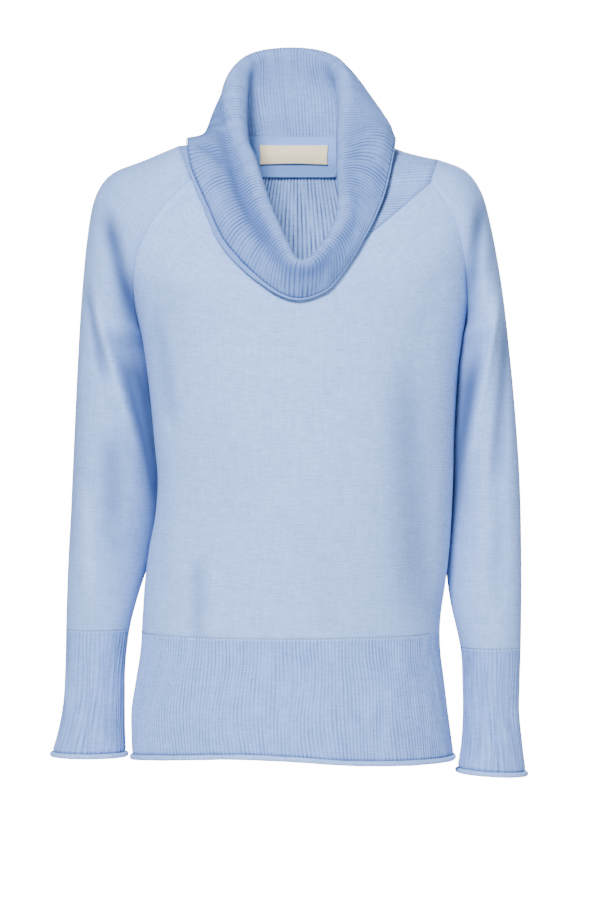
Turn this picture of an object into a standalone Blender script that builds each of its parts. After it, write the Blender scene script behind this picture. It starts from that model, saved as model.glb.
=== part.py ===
"""A cowl neck sweater with raglan sleeves, hollow as if worn, its arms hanging.

Metres, +Z up. The front faces -Y and the wearer's left arm is at +X. The origin is the middle of the
neck, level with the tops of the shoulders, where a wearer holds the garment up.
The tables are in millimetres, as a maker would write them.
"""

import math
from collections import namedtuple

import bmesh
import bpy
import numpy as np
from mathutils import Vector
from mathutils.bvhtree import BVHTree

MM = 0.001

# Cloth and seams
JERSEY = 2.0 * MM
RIB_WALL = 2.2 * MM
RIB_RELIEF = 0.8 * MM
SEAM_GAP = 0.3 * MM
ROLL_RADIUS = 3.0 * MM

# How many ribs go round each band, and how many plain points lie behind a group of ribs
HEM_RIBS = 180
HEM_GROUP = 6
CUFF_RIBS = 44
CUFF_GROUP = 4
COLLAR_RIBS = 90
COLLAR_GROUP = 2

# Grid steps
PANEL_COLUMNS = 24
YOKE_STEPS = 8
TORSO_STEPS = 7
SLEEVE_COLUMNS = 16
ARM_STEPS = 9
CUFF_STEPS = 2
HEM_STEPS = 2
ROLL_SIDES = 6

# Body tube: half widths to each side of the middle plane, and depths, at each height
Girth = namedtuple("Girth", "height left right front back")
TORSO = (
    Girth(-190, -170, 186, -116, 108),
    Girth(-228, -164, 180, -120, 107),
    Girth(-270, -159, 177, -123, 105),
    Girth(-313, -155, 175, -125, 102),
    Girth(-357, -151, 174, -125, 99),
    Girth(-400, -154, 172, -124, 98),
    Girth(-430, -160, 170, -122, 98),
    Girth(-467, -165, 166, -120, 100),
    Girth(-511, -168, 160, -119, 103),
    Girth(-544, -170, 160, -119, 106),
    Girth(-577, -175, 164, -120, 110),
    Girth(-610, -180, 168, -122, 113),
    Girth(-640, -180, 172, -124, 116),
    Girth(-662, -179, 175, -125, 118),
)
HEM_TOP = -525
# Where the hem band's ribs end, at turns in degrees from the front towards the wearer's left
HemEnd = namedtuple("HemEnd", "turn height")
HEM_ENDS = (
    HemEnd(0, -648),
    HemEnd(20, -653),
    HemEnd(45, -656),
    HemEnd(90, -658),
    HemEnd(135, -655),
    HemEnd(180, -652),
    HemEnd(225, -656),
    HemEnd(270, -658),
    HemEnd(310, -651.5),
    HemEnd(340, -646.5),
)

# Sleeve rows from the neck (first) to the cuff. out: the outer edge. front and back: the raglan seams,
# which meet as the underarm line from the armpit down. reach: how far round the arm the cloth goes.
Row = namedtuple("Row", "out_x out_z front_x front_z back_x back_z front back reach")
LEFT_ARM = (
    Row(157, -5, 146, -36, 140, -20, 52, 50, 88),
    Row(187, -17, 161, -56, 158, -46, 60, 60, 94),
    Row(205, -41, 173, -80, 173, -74, 63, 65, 102),
    Row(214.5, -74, 181, -106, 182, -102, 62, 66, 114),
    Row(221.5, -109, 186, -134, 187, -132, 60, 64, 130),
    Row(227.5, -146, 188, -163, 188, -162, 57, 61, 152),
    Row(232.5, -184, 187, -190, 187, -190, 55, 59, 180),
    Row(237, -226, 180.8, -228, 180.8, -228, 54, 57, 180),
    Row(241, -268, 176.2, -268, 176.2, -268, 53, 56, 180),
    Row(244.5, -312, 172.8, -312, 172.8, -312, 51, 54, 180),
    Row(247.2, -356, 171.6, -356, 171.6, -356, 48, 51, 180),
    Row(248.6, -400, 169.8, -400, 169.8, -400, 46, 47, 180),
    Row(249.2, -445, 166.8, -445, 166.8, -445, 43, 43, 180),
    Row(249.2, -490, 171, -490, 171, -490, 39, 39, 180),
    Row(248.5, -542, 182, -542, 182, -542, 35, 34, 180),
    Row(247.5, -580, 184, -580, 184, -580, 32, 31, 180),
    Row(247, -612, 184.5, -612, 184.5, -612, 31, 30, 180),
    Row(250, -645, 183, -645, 183, -645, 31, 30, 180),
    Row(254, -677, 179, -673, 179, -673, 33, 31, 180),
)
RIGHT_ARM = (
    Row(-128, 10, -112, -32, -112, -14, 56, 52, 88),
    Row(-168, -7, -136, -54, -137, -40, 61, 61, 92),
    Row(-202, -21, -155, -80, -157, -70, 64, 66, 100),
    Row(-220, -47, -169, -107, -172, -100, 64, 67, 110),
    Row(-228, -88, -175, -136, -177, -132, 61, 64, 126),
    Row(-233, -137, -175, -164, -176, -163, 58, 60, 150),
    Row(-236.5, -184, -171, -191, -171, -191, 56, 58, 180),
    Row(-239, -228, -164.2, -228, -164.2, -228, 55, 57, 180),
    Row(-241, -268, -158.8, -268, -158.8, -268, 54, 56, 180),
    Row(-243, -312, -153.3, -312, -153.3, -312, 52, 54, 180),
    Row(-245, -356, -149.3, -356, -149.3, -356, 49, 51, 180),
    Row(-247, -400, -152.2, -400, -152.2, -400, 46, 47, 180),
    Row(-249.5, -445, -160.9, -445, -160.9, -445, 42, 42, 180),
    Row(-251, -485, -173, -485, -173, -485, 38, 38, 180),
    Row(-252, -522, -182, -522, -182, -522, 35, 34, 180),
    Row(-253, -562, -186.5, -562, -186.5, -562, 32, 31, 180),
    Row(-255, -600, -187, -600, -187, -600, 31, 30, 180),
    Row(-260, -630, -187, -630, -187, -630, 31, 30, 180),
    Row(-267, -655.5, -186, -655.5, -186, -655.5, 33, 31, 180),
)
ARMS = {"left": LEFT_ARM, "right": RIGHT_ARM}
ARMPIT_ROW = 6
CUFF_ROW = 14
CUFF_END = 18
LEAN = 22

# Yoke rows from the neck to the armpit: the middle of each panel. turn: degrees that the row bends
# round to each side. dip: how round the row's middle hangs.
Yoke = namedtuple("Yoke", "x height depth turn dip")
FRONT_YOKE = (
    Yoke(8, -147, -105, 56, 1.15),
    Yoke(8, -153, -107.5, 62, 1.3),
    Yoke(8, -160, -109.5, 68, 1.5),
    Yoke(8, -167, -111.5, 75, 1.7),
    Yoke(8, -175, -113.5, 82, 1.9),
    Yoke(8, -182, -115, 87, 2),
    Yoke(8, -190, -116, 90, 2),
)
BACK_YOKE = (
    Yoke(5, 4, 67, 60, 2),
    Yoke(6, -28, 83, 64, 2),
    Yoke(7, -60, 94, 70, 2),
    Yoke(8, -93, 101, 76, 2),
    Yoke(8, -126, 105, 83, 2),
    Yoke(8, -158, 107.5, 88, 2),
    Yoke(8, -190, 108, 90, 2),
)

# Collar, at turns in degrees from the front towards the wearer's left. rim: the middle of the fold's
# roll. edge: where the fall ends. swell and sweep: how far the fall stands out a third and two thirds
# of the way down.
Cowl = namedtuple("Cowl", "turn rim_x rim_y rim_z roll edge_x edge_y edge_z swell sweep")
COLLAR = (
    Cowl(0, 7, -127, -131, 5.5, 5, -117, -163, 3, 3),
    Cowl(12, 20, -123, -127, 6, 22, -116, -159, 3, 3),
    Cowl(24, 32, -113, -116, 8, 37, -115, -150, 4, 4),
    Cowl(38, 44, -101, -101, 9, 55, -109.5, -127, 5, 5),
    Cowl(52, 54, -84, -80, 10, 70, -103.5, -102, 6, 6),
    Cowl(66, 58, -63, -54, 10, 84, -92, -75, 7, 7),
    Cowl(78, 58, -40, -26, 11, 97, -67, -40, 9, 8),
    Cowl(90, 58, -12, 14, 11, 108, -14, 16, 14, 13),
    Cowl(120, 59.5, 30, 67, 12.5, 102, 54, 18, 12, 12),
    Cowl(150, 42, 62, 109, 8, 62, 84, -8, 14, 13),
    Cowl(180, -3, 74, 120, 8, -2, 91, -17, 9, 9),
    Cowl(210, -51, 63, 110, 8, -65, 84, -8, 10, 7),
    Cowl(240, -67, 30, 69, 14, -105, 55, 14, 1, -5),
    Cowl(270, -63, -12, 14, 11, -117, -21, 15, 5, 0),
    Cowl(281, -54, -34, -9, 10, -112, -61, -19, 6, 5),
    Cowl(294, -45, -58, -38, 10, -94, -85, -61, 6, 8),
    Cowl(308, -34, -80, -68, 9, -77, -99, -98, 4, 6),
    Cowl(322, -24, -97, -92, 9, -55, -107.5, -125, 3, 4),
    Cowl(336, -14, -111, -112, 8, -32, -114, -146, 3, 4),
    Cowl(348, -5, -123, -126, 6, -12, -116, -159, 3, 3),
)
ROLL_STEPS = 3
STAND_STEPS = 3
STAND_SWELL = 4
SEAM_LEAN = 0.6
# Degrees that the roll leans back at the sides of the neck
ROLL_TILT = 28
# How far, in turns, the stand's columns are drawn along the neck seam towards the front and back
SEAM_SHIFT = 0.024
COLLAR_ROLL_GROUP = 3
COLLAR_ROLL_GAP = 1.1 * MM

# Folds, in the front view: a soft trough (or, with a depth below 0, a ridge) from one end to the other
Fold = namedtuple("Fold", "face x0 z0 x1 z1 depth width")
FOLDS = (
    Fold("front", 126, -300, 128, -525, 6, 17),
    Fold("front", 148, -330, 150, -500, -4, 14),
    Fold("front", -106, -400, -108, -525, 6, 15),
    Fold("front", -140, -250, -134, -500, -5, 18),
    Fold("front", -148, -190, -128, -330, 4, 14),
    Fold("front", 214, -50, 190, -104, 7, 12),
    Fold("front", -212, -68, -188, -122, 9, 12),
    Fold("front", -198, -170, -164, -330, -6, 10),
    Fold("front", -214, -150, -192, -300, 6, 10),
    Fold("front", 219, -190, 196, -350, -5, 11),
    Fold("front", 236, -230, 226, -420, 5, 12),
    Fold("back", 110, -260, 118, -520, 6, 18),
    Fold("back", -96, -280, -104, -520, 6, 18),
    Fold("back", 20, -330, 16, -520, 4, 20),
    Fold("back", 212, -150, 196, -330, 6, 12),
    Fold("back", -214, -150, -190, -330, 6, 12),
)
FOLD_FADE = 32

# Pieces sewn inside the back of the neck
# top_turn and bottom_turn: degrees that a piece reaches to each side of the back, seen from NECK_AXIS
Patch = namedtuple("Patch", "name behind top bottom top_turn bottom_turn columns rows clearance wall")
NECK_AXIS = (-2, 5)
NECK_PATCHES = (
    Patch("neck_facing", ("back_panel", "collar"), 28, -18, 54, 36, 16, 6, 1.9, 1.2),
    Patch("label", ("neck_facing",), 18, -4.5, 36.5, 34, 8, 4, 1.1, 0.8),
)

BLUE = (0.50, 0.62, 0.80, 1.0)
FACING_BLUE = (0.36, 0.52, 0.76, 1.0)
CREAM = (0.80, 0.77, 0.66, 1.0)


# Curves through the tables
def smooth(values, at):
    """A column's value at fractional row numbers, on a curve through every row."""
    v = np.asarray(values, float)
    slope = np.gradient(v)
    at = np.clip(np.asarray(at, float), 0, len(v) - 1)
    i = np.minimum(at.astype(int), len(v) - 2)
    f = at - i
    ahead = f * f * (3 - 2 * f) * v[i + 1] + f * f * (f - 1) * slope[i + 1]
    return (1 + 2 * f) * (1 - f) ** 2 * v[i] + f * (1 - f) ** 2 * slope[i] + ahead


def column(table, name, at):
    """The named column of a table at fractional row numbers."""
    return smooth([getattr(row, name) for row in table], at)


def around(table, name, turns):
    """The named column of a table that closes on itself, at 0 to 1 turns."""
    v = np.array([getattr(row, name) for row in table], float)
    wrapped = np.concatenate([v[-2:], v, v[:3]])
    marks = [row.turn / 360 for row in table] + [1.0]
    return smooth(wrapped, 2 + np.interp(np.asarray(turns) % 1.0, marks, np.arange(len(v) + 1)))


def torso_row(height):
    """Row number in TORSO of a height in millimetres."""
    heights = [-row.height for row in TORSO]
    return np.interp(-np.asarray(height, float), heights, np.arange(len(TORSO)))


def ease(x):
    """Rises smoothly from 0 to 1 as x does."""
    x = np.clip(x, 0, 1)
    return x * x * (3 - 2 * x)


# Points of the garment's outer surface, in millimetres
def folded(points):
    """Points with each fold pressed in, along Y, where the cloth faces the front or the back."""
    shifted = points.copy()
    x, y, z = points[..., 0], points[..., 1], points[..., 2]
    for fold in FOLDS:
        start = np.array([fold.x0, fold.z0], float)
        along = np.array([fold.x1, fold.z1], float) - start
        length = np.hypot(*along)
        along /= length
        share = ((x - start[0]) * along[0] + (z - start[1]) * along[1]) / length
        across = (x - start[0]) * along[1] - (z - start[1]) * along[0]
        inwards = 1 if fold.face == "front" else -1
        ends = ease(share / 0.3) * ease((1 - share) / 0.3)
        press = fold.depth * np.exp(-((across / fold.width) ** 2)) * ends
        shifted[..., 1] += inwards * press * ease(-inwards * y / FOLD_FADE)
    return shifted


def sleeve_points(arm, row, share):
    """Points of a sleeve. share runs from -1 at the front seam, over the outside of the arm, to 1 at the back seam.

    Each row is part of an oval: the outer point, less (1 - cos) of the way to the seam, and depth x sin.
    """
    table = ARMS[arm]
    row, share = np.broadcast_arrays(np.asarray(row, float), np.asarray(share, float))
    reach = np.radians(np.minimum(column(table, "reach", row), 180))
    angle = np.abs(share) * reach
    inward = (1 - np.cos(angle)) / (1 - np.cos(reach))
    front = share < 0
    seam_x = np.where(front, column(table, "front_x", row), column(table, "back_x", row))
    seam_z = np.where(front, column(table, "front_z", row), column(table, "back_z", row))
    depth = np.where(front, -column(table, "front", row), column(table, "back", row))
    out_x, out_z = column(table, "out_x", row), column(table, "out_z", row)
    x = out_x + (seam_x - out_x) * inward
    y = depth * np.sin(angle) + sleeve_lean(row) * inward
    z = out_z + (seam_z - out_z) * inward
    return folded(np.stack([x, y, z], axis=-1))


def sleeve_lean(row):
    """How far back a sleeve's inner edge lies, where it hangs close behind the body's side."""
    return LEAN * ease((row - ARMPIT_ROW) / 2.5) * ease((CUFF_ROW - row) / 2.5)


def seam_clearance(row):
    """How far a panel keeps from the sleeve where the seam sinks into the armpit."""
    return SEAM_GAP / MM * 2 * ease((np.asarray(row) - 2) / 3)


def yoke_points(face, row, share):
    """Points of the front or back between the raglan seams. share runs from -1 on the wearer's right to 1.

    Each row is an arc: x goes with sin, and the depth with 1 - cos, from the middle to the seam.
    """
    table = FRONT_YOKE if face == "front" else BACK_YOKE
    row, share = np.broadcast_arrays(np.asarray(row, float), np.asarray(share, float))
    end = -1.0 if face == "front" else 1.0
    left = sleeve_points("left", row, end)
    right = sleeve_points("right", row, end)
    edge = np.where((share > 0)[..., None], left, right)
    edge_x = edge[..., 0] - np.sign(share) * seam_clearance(row)
    turn = np.radians(column(table, "turn", row))
    angle = np.abs(share) * turn
    out = np.sin(angle) / np.sin(turn)
    back = (1 - np.cos(angle)) / (1 - np.cos(turn))
    x = column(table, "x", row) * (1 - out) + edge_x * out
    y = column(table, "depth", row) * (1 - back) + edge[..., 1] * back
    rise = out ** column(table, "dip", row)
    z = column(table, "height", row) * (1 - rise) + edge[..., 2] * rise
    return folded(np.stack([x, y, z], axis=-1))


def torso_points(height, angle):
    """Points of the body tube at a height. angle is in radians from the front towards the wearer's left.

    Each section is made of four quarter ovals, one for each side and face.
    """
    height, angle = np.broadcast_arrays(np.asarray(height, float), np.asarray(angle, float))
    row = torso_row(height)
    left, right = column(TORSO, "left", row), column(TORSO, "right", row)
    middle, half = (left + right) / 2, (right - left) / 2
    facing = np.cos(angle)
    depth = np.where(facing > 0, -column(TORSO, "front", row), column(TORSO, "back", row))
    return folded(np.stack([middle + half * np.sin(angle), -depth * facing, height], axis=-1))


def panel_grid(face, yoke_steps, torso_steps, columns):
    """The front or back, from the neck to the top of the hem, as rows of points."""
    share = np.linspace(-1, 1, columns + 1)[None, :]
    rows = np.linspace(0, ARMPIT_ROW, yoke_steps + 1)[:, None]
    yoke = yoke_points(face, rows, share)
    heights = np.linspace(TORSO[0].height, HEM_TOP, torso_steps + 1)[1:, None]
    angle = share * math.pi / 2 if face == "front" else math.pi - share * math.pi / 2
    return np.concatenate([yoke, torso_points(heights, angle)])


def sleeve_grid(arm, yoke_steps, arm_steps, columns):
    """A sleeve from the neck to the top of the cuff, as rows of points."""
    share = np.linspace(-1, 1, columns + 1)[None, :]
    upper = np.linspace(0, ARMPIT_ROW, yoke_steps + 1)
    lower = np.linspace(ARMPIT_ROW, CUFF_ROW, arm_steps + 1)[1:]
    return sleeve_points(arm, np.concatenate([upper, lower])[:, None], share)


# Walls
def unit(vectors):
    """The vectors, each made one long."""
    return vectors / np.maximum(np.linalg.norm(vectors, axis=-1, keepdims=True), 1e-12)


def directions_of(grid, axis, closed=False):
    """The direction of a grid's lines at every point, halfway between those of the steps before and after."""
    lines = np.swapaxes(grid, 0, axis)
    if closed:
        steps = unit(np.roll(lines, -1, axis=0) - lines)
        total = steps + np.roll(steps, 1, axis=0)
    else:
        steps = unit(np.diff(lines, axis=0))
        total = np.concatenate([steps[:1], steps[1:] + steps[:-1], steps[-1:]])
    return np.swapaxes(unit(total), 0, axis)


def normals_of(grid, closed=False):
    """Unit normals of a grid of points. A closed grid joins its last column to its first."""
    return unit(np.cross(directions_of(grid, 1, closed), directions_of(grid, 0)))


def share_normals(first, second):
    """Gives two edges that meet one normal, unless they face each other across a crease."""
    alike = (first * second).sum(axis=-1, keepdims=True)
    total = unit(first + second)
    weight = ease((alike - 0.2) / 0.4)
    first[:] = first * (1 - weight) + total * weight
    second[:] = second * (1 - weight) + total * weight


def draw_in(grid, gap, rows=(True, True), columns=(True, True)):
    """Draws a patch's edges in by half a seam's gap, towards the points next to them."""
    drawn = grid.copy()
    for axis, ends in ((0, rows), (1, columns)):
        view, source = np.swapaxes(drawn, 0, axis), np.swapaxes(grid, 0, axis)
        for wanted, edge, beside in ((ends[0], 0, 1), (ends[1], -1, -2)):
            if wanted:
                view[edge] += unit(source[beside] - source[edge]) * gap / 2
    return drawn


def material(name, colour, roughness):
    """A Principled BSDF with this colour and roughness."""
    made = bpy.data.materials.new(name)
    made.use_nodes = True
    shader = made.node_tree.nodes["Principled BSDF"]
    shader.inputs["Base Color"].default_value = colour
    shader.inputs["Roughness"].default_value = roughness
    shader.inputs["Metallic"].default_value = 0.0
    return made


def add_object(name, points, faces, finish):
    """A closed, smooth-shaded object from points in metres, its faces turned outwards."""
    mesh = bpy.data.meshes.new(name)
    mesh.from_pydata([tuple(p) for p in points], [], faces)
    work = bmesh.new()
    work.from_mesh(mesh)
    bmesh.ops.triangulate(work, faces=work.faces[:])
    bmesh.ops.recalc_face_normals(work, faces=work.faces[:])
    if work.calc_volume(signed=True) < 0:
        bmesh.ops.reverse_faces(work, faces=work.faces[:])
    work.to_mesh(mesh)
    work.free()
    mesh.shade_smooth()
    mesh.set_sharp_from_angle(angle=math.radians(80))
    mesh.materials.append(finish)
    made = bpy.data.objects.new(name, mesh)
    bpy.context.scene.collection.objects.link(made)
    return made


def add_patch(name, outer, inner, finish):
    """A wall between two open grids of the same size."""
    rows, columns = outer.shape[:2]
    index = np.arange(rows * columns).reshape(rows, columns)
    behind = index + rows * columns
    faces = []
    for r in range(rows - 1):
        for c in range(columns - 1):
            faces.append((index[r, c], index[r, c + 1], index[r + 1, c + 1], index[r + 1, c]))
            faces.append((behind[r, c], behind[r + 1, c], behind[r + 1, c + 1], behind[r, c + 1]))
    edge = np.concatenate([index[0, :-1], index[:-1, -1], index[-1, :0:-1], index[:0:-1, 0]])
    for a, b in zip(edge, np.roll(edge, -1)):
        faces.append((b, a, a + rows * columns, b + rows * columns))
    points = np.concatenate([outer.reshape(-1, 3), inner.reshape(-1, 3)])
    return add_object(name, points, faces, finish)


def ring_strip(first, second):
    """Faces between two rings of points, of which the second has as many, or a whole share as many."""
    group = len(first) // len(second)
    faces = []
    for k in range(len(second)):
        near, far = second[k], second[(k + 1) % len(second)]
        run = [first[(k * group + g) % len(first)] for g in range(group + 1)]
        half = group // 2
        faces += [(run[g], run[g + 1], near) for g in range(half)]
        faces.append((run[half], far, near))
        faces += [(run[g], run[g + 1], far) for g in range(half, group)]
    return faces


def add_tube(name, outer, inner, finish):
    """A wall between two grids that close on themselves. The inner one may have fewer columns."""
    points = np.concatenate([outer.reshape(-1, 3), inner.reshape(-1, 3)])
    rings = np.arange(outer.shape[0] * outer.shape[1]).reshape(outer.shape[:2])
    backs = np.arange(inner.shape[0] * inner.shape[1]).reshape(inner.shape[:2]) + rings.size
    faces = []
    for side in (rings, backs):
        for a, b in zip(side[:-1], side[1:]):
            faces += list(zip(a, np.roll(a, -1), np.roll(b, -1), b))
    faces += ring_strip(rings[0], backs[0]) + ring_strip(rings[-1], backs[-1])
    return add_object(name, points, faces, finish)


def add_roll(name, centre, finish):
    """A rolled edge: a thin closed tube round a ring of points."""
    ahead = directions_of(centre, 0, closed=True)
    side = unit(np.cross(ahead, [0.0, 0.0, 1.0]))
    over = np.cross(side, ahead)
    turn = np.arange(ROLL_SIDES) * 2 * math.pi / ROLL_SIDES
    rings = [centre + ROLL_RADIUS * (side * math.cos(t) + over * math.sin(t)) for t in turn]
    count = len(centre)
    faces = []
    for k in range(ROLL_SIDES):
        for c in range(count):
            d, m = (c + 1) % count, (k + 1) % ROLL_SIDES
            faces.append((k * count + c, k * count + d, m * count + d, m * count + c))
    return add_object(name, np.concatenate(rings), faces, finish)


def even_turns(ring_at, count):
    """Turns, from 0 to 1, that share a ring's length evenly. ring_at gives points for turns."""
    fine = np.linspace(0, 1, 721)
    points = ring_at(fine)
    steps = np.linalg.norm(np.diff(points, axis=0), axis=1)
    length = np.concatenate([[0], np.cumsum(steps)])
    return np.interp(np.arange(count) / count * length[-1], length, fine)


def rib_depths(count, group):
    """How far each of the points round a band lies below its ribs' tops. A group's middle point is low."""
    return np.where((np.arange(count) + group // 2) % 2 == 0, RIB_RELIEF, 0.0)


def add_ribbed_band(name, points_at, steps, ribs, group, finish):
    """A ribbed tube. points_at(share, turns) gives outer points in metres, share being 0 at its top and 1 at its end."""
    share = np.linspace(0, 1, steps + 1)[:, None]
    turns = even_turns(lambda t: points_at(np.array([[0.5]]), t[None, :])[0], 2 * ribs)
    plain = points_at(share, turns[None, :])
    normal = normals_of(plain, closed=True)
    if ((plain - plain.mean(axis=1, keepdims=True)) * normal).sum() < 0:
        normal = -normal
    outer = plain - normal * rib_depths(2 * ribs, group)[None, :, None]
    inner = (plain - normal * RIB_WALL)[:, ::group]
    return add_tube(name, outer, inner, finish)


# The sewn pieces
def add_body_and_sleeves(finish):
    """Front, back and two sleeves, cut from one surface and drawn apart at the seams."""
    grids = {
        "front_panel": panel_grid("front", YOKE_STEPS, TORSO_STEPS, PANEL_COLUMNS) * MM,
        "back_panel": panel_grid("back", YOKE_STEPS, TORSO_STEPS, PANEL_COLUMNS) * MM,
        "sleeve_left": sleeve_grid("left", YOKE_STEPS, ARM_STEPS, SLEEVE_COLUMNS) * MM,
        "sleeve_right": sleeve_grid("right", YOKE_STEPS, ARM_STEPS, SLEEVE_COLUMNS) * MM,
    }
    normals = {name: normals_of(grid) for name, grid in grids.items()}
    for name, mirrored in (("front_panel", -1), ("back_panel", 1), ("sleeve_left", -1), ("sleeve_right", 1)):
        normals[name] *= mirrored
    yoke = slice(0, YOKE_STEPS + 1)
    share_normals(normals["front_panel"][yoke, -1], normals["sleeve_left"][yoke, 0])
    share_normals(normals["front_panel"][yoke, 0], normals["sleeve_right"][yoke, 0])
    share_normals(normals["back_panel"][yoke, -1], normals["sleeve_left"][yoke, -1])
    share_normals(normals["back_panel"][yoke, 0], normals["sleeve_right"][yoke, -1])
    ring = np.concatenate([grids["front_panel"], grids["back_panel"][:, -2:0:-1]], axis=1)[YOKE_STEPS:]
    smoothed = -normals_of(ring, closed=True)
    normals["front_panel"][YOKE_STEPS:] = smoothed[:, : PANEL_COLUMNS + 1]
    normals["back_panel"][YOKE_STEPS:, 1:-1] = smoothed[:, : PANEL_COLUMNS : -1]
    normals["back_panel"][YOKE_STEPS:, [0, -1]] = normals["front_panel"][YOKE_STEPS:, [0, -1]]
    for name, mirrored in (("sleeve_left", -1), ("sleeve_right", 1)):
        smoothed = mirrored * normals_of(grids[name][YOKE_STEPS:, :-1], closed=True)
        normals[name][YOKE_STEPS:] = np.concatenate([smoothed, smoothed[:, :1]], axis=1)
    neck = {}
    for name, grid in grids.items():
        outer = draw_in(grid, SEAM_GAP)
        add_patch(name, outer, outer - normals[name] * JERSEY, finish)
        upward = unit(grid[0] - grid[1])
        neck[name] = np.concatenate([grid[0], upward, normals[name][0]], axis=1)
    return neck


def add_hem(finish):
    """The ribbed hem band and its rolled edge."""

    def points_at(share, turns):
        angle = np.asarray(turns) * 2 * math.pi
        end = around(HEM_ENDS, "height", turns)
        top = HEM_TOP - SEAM_GAP / MM / 2
        return torso_points(top + (end - top) * share, angle) * MM

    add_ribbed_band("hem_rib", points_at, HEM_STEPS, HEM_RIBS, HEM_GROUP, finish)
    ring = points_at(np.array([[1.0]]), (np.arange(54) / 54)[None, :])[0]
    add_roll("hem_roll", ring - [0, 0, ROLL_RADIUS + SEAM_GAP], finish)


def add_cuff(arm, finish):
    """A ribbed cuff and its rolled edge."""

    def points_at(share, turns):
        row = CUFF_ROW + 0.01 + (CUFF_END - CUFF_ROW - 0.01) * np.asarray(share)
        return sleeve_points(arm, row, np.asarray(turns) * 2 - 1) * MM

    add_ribbed_band("cuff_" + arm, points_at, CUFF_STEPS, CUFF_RIBS, CUFF_GROUP, finish)
    ring = points_at(np.array([[1.0]]), (np.arange(22) / 22)[None, :])[0]
    add_roll("cuff_roll_" + arm, ring - [0, 0, ROLL_RADIUS + SEAM_GAP], finish)


def neck_ring(rows):
    """The neck seam as a closed line from the middle of the front, with the turns of its four quarters.

    rows holds, for each piece, one row of points, upward directions and normals side by side.
    """
    half = PANEL_COLUMNS // 2
    across = SLEEVE_COLUMNS // 2
    front, back = rows["front_panel"], rows["back_panel"]
    left, right = rows["sleeve_left"], rows["sleeve_right"]
    parts = (
        np.concatenate([front[half:], left[1 : across + 1]]),
        np.concatenate([left[across:], back[-2 : half - 1 : -1]]),
        np.concatenate([back[half::-1], right[-2 : across - 1 : -1]]),
        np.concatenate([right[across::-1], front[1 : half + 1]]),
    )
    turns, points = [], []
    for quarter, part in enumerate(parts):
        steps = np.linalg.norm(np.diff(part[:, :3], axis=0), axis=1)
        steps = np.concatenate([[0], np.cumsum(steps)])
        turns.append((quarter + steps / steps[-1]) / 4)
        points.append(part)
    return np.concatenate(turns), np.concatenate(points)


def collar_rings(turns, seam):
    """Rings of the collar's cavity side, from the neck seam over the rim's roll to the end of the fall.

    The stand runs from the seam to the roll, the roll is half a circle, and the fall ends just clear of
    the chest, shoulders and back.
    """
    seam_turns, seam_points = seam
    foot_turns = turns - SEAM_SHIFT * np.sin(4 * math.pi * turns)
    found = np.stack([np.interp(foot_turns, seam_turns, seam_points[:, k]) for k in range(9)], axis=-1)
    base, beyond, seam_normal = found[:, :3], found[:, 3:6], found[:, 6:]
    rim = np.stack([around(COLLAR, name, turns) for name in ("rim_x", "rim_y", "rim_z")], axis=-1) * MM
    edge = np.stack([around(COLLAR, name, turns) for name in ("edge_x", "edge_y", "edge_z")], axis=-1) * MM
    roll = around(COLLAR, "roll", turns)[:, None] * MM
    angle = turns * 2 * math.pi
    ahead = directions_of(rim, 0, closed=True)
    outward = np.stack([np.sin(angle), -np.cos(angle), np.zeros_like(angle)], axis=-1)
    outward = unit(outward - ahead * (ahead * outward).sum(axis=1, keepdims=True))
    up = np.cross(outward, ahead)
    lift = (0.55 + 0.45 * np.abs(np.cos(angle)))[:, None]
    open_way = outward * lift + up * (1 - 0.75 * np.maximum(np.cos(angle), 0))[:, None]
    open_way = unit(open_way)
    tilt = math.radians(ROLL_TILT) * np.sin(angle)[:, None] ** 2
    outward, up = outward * np.cos(tilt) + up * np.sin(tilt), up * np.cos(tilt) - outward * np.sin(tilt)
    stand_top = rim - outward * roll
    rings = [base + beyond * SEAM_GAP]
    for share in np.arange(1, STAND_STEPS) / STAND_STEPS:
        swell = STAND_SWELL * MM * math.sin(math.pi * share**0.6)
        rings.append(base + (stand_top - base) * share + up * swell)
    for k in range(ROLL_STEPS + 1):
        t = math.pi * (1 - k / ROLL_STEPS)
        rings.append(rim + roll * (outward * math.cos(t) + up * math.sin(t)))
    outset = rings[-1]
    for share, name in ((1 / 3, "swell"), (2 / 3, "sweep")):
        rings.append(outset + (edge - outset) * share + open_way * around(COLLAR, name, turns)[:, None] * MM)
    rings.append(edge)
    return np.stack(rings), open_way, unit(SEAM_LEAN * beyond - seam_normal)


def joined_tree(names):
    """A search tree of the faces of the named objects."""
    points, faces = [], []
    for name in names:
        mesh = bpy.data.objects[name].data
        faces += [tuple(i + len(points) for i in face.vertices) for face in mesh.polygons]
        points += [v.co.copy() for v in mesh.vertices]
    return BVHTree.FromPolygons(points, faces)


def add_collar(neck, finish):
    """The folded cowl: a ribbed wall from the neck seam up, over the rim and down to its rolled edge."""
    seam = neck_ring(neck)
    count = 2 * COLLAR_RIBS
    rim_line = lambda t: np.stack([around(COLLAR, n, t) for n in ("rim_x", "rim_y", "rim_z")], axis=-1)
    turns = even_turns(rim_line, count)
    core, open_way, seam_way = collar_rings(turns, seam)
    normal = normals_of(core, closed=True)
    if (normal[-2] * open_way).sum() < 0:
        normal = -normal
    normal[0] = seam_way
    depths = np.tile(rib_depths(count, COLLAR_GROUP), (len(core), 1))
    depths[: STAND_STEPS + 1] *= (1 - np.cos(turns * 2 * math.pi)) / 2
    seen = core + normal * (RIB_WALL - depths)[..., None]
    add_tube("collar", seen, core[:, ::COLLAR_GROUP], finish)
    along = directions_of(core[-1], 0, closed=True)
    down = core[-1] - core[-2]
    down = unit(down - along * (along * down).sum(axis=1, keepdims=True))
    ring = core[-1] + normal[-1] * RIB_WALL / 2 + down * (ROLL_RADIUS + COLLAR_ROLL_GAP)
    add_roll("collar_roll", ring[::COLLAR_ROLL_GROUP], finish)


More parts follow.
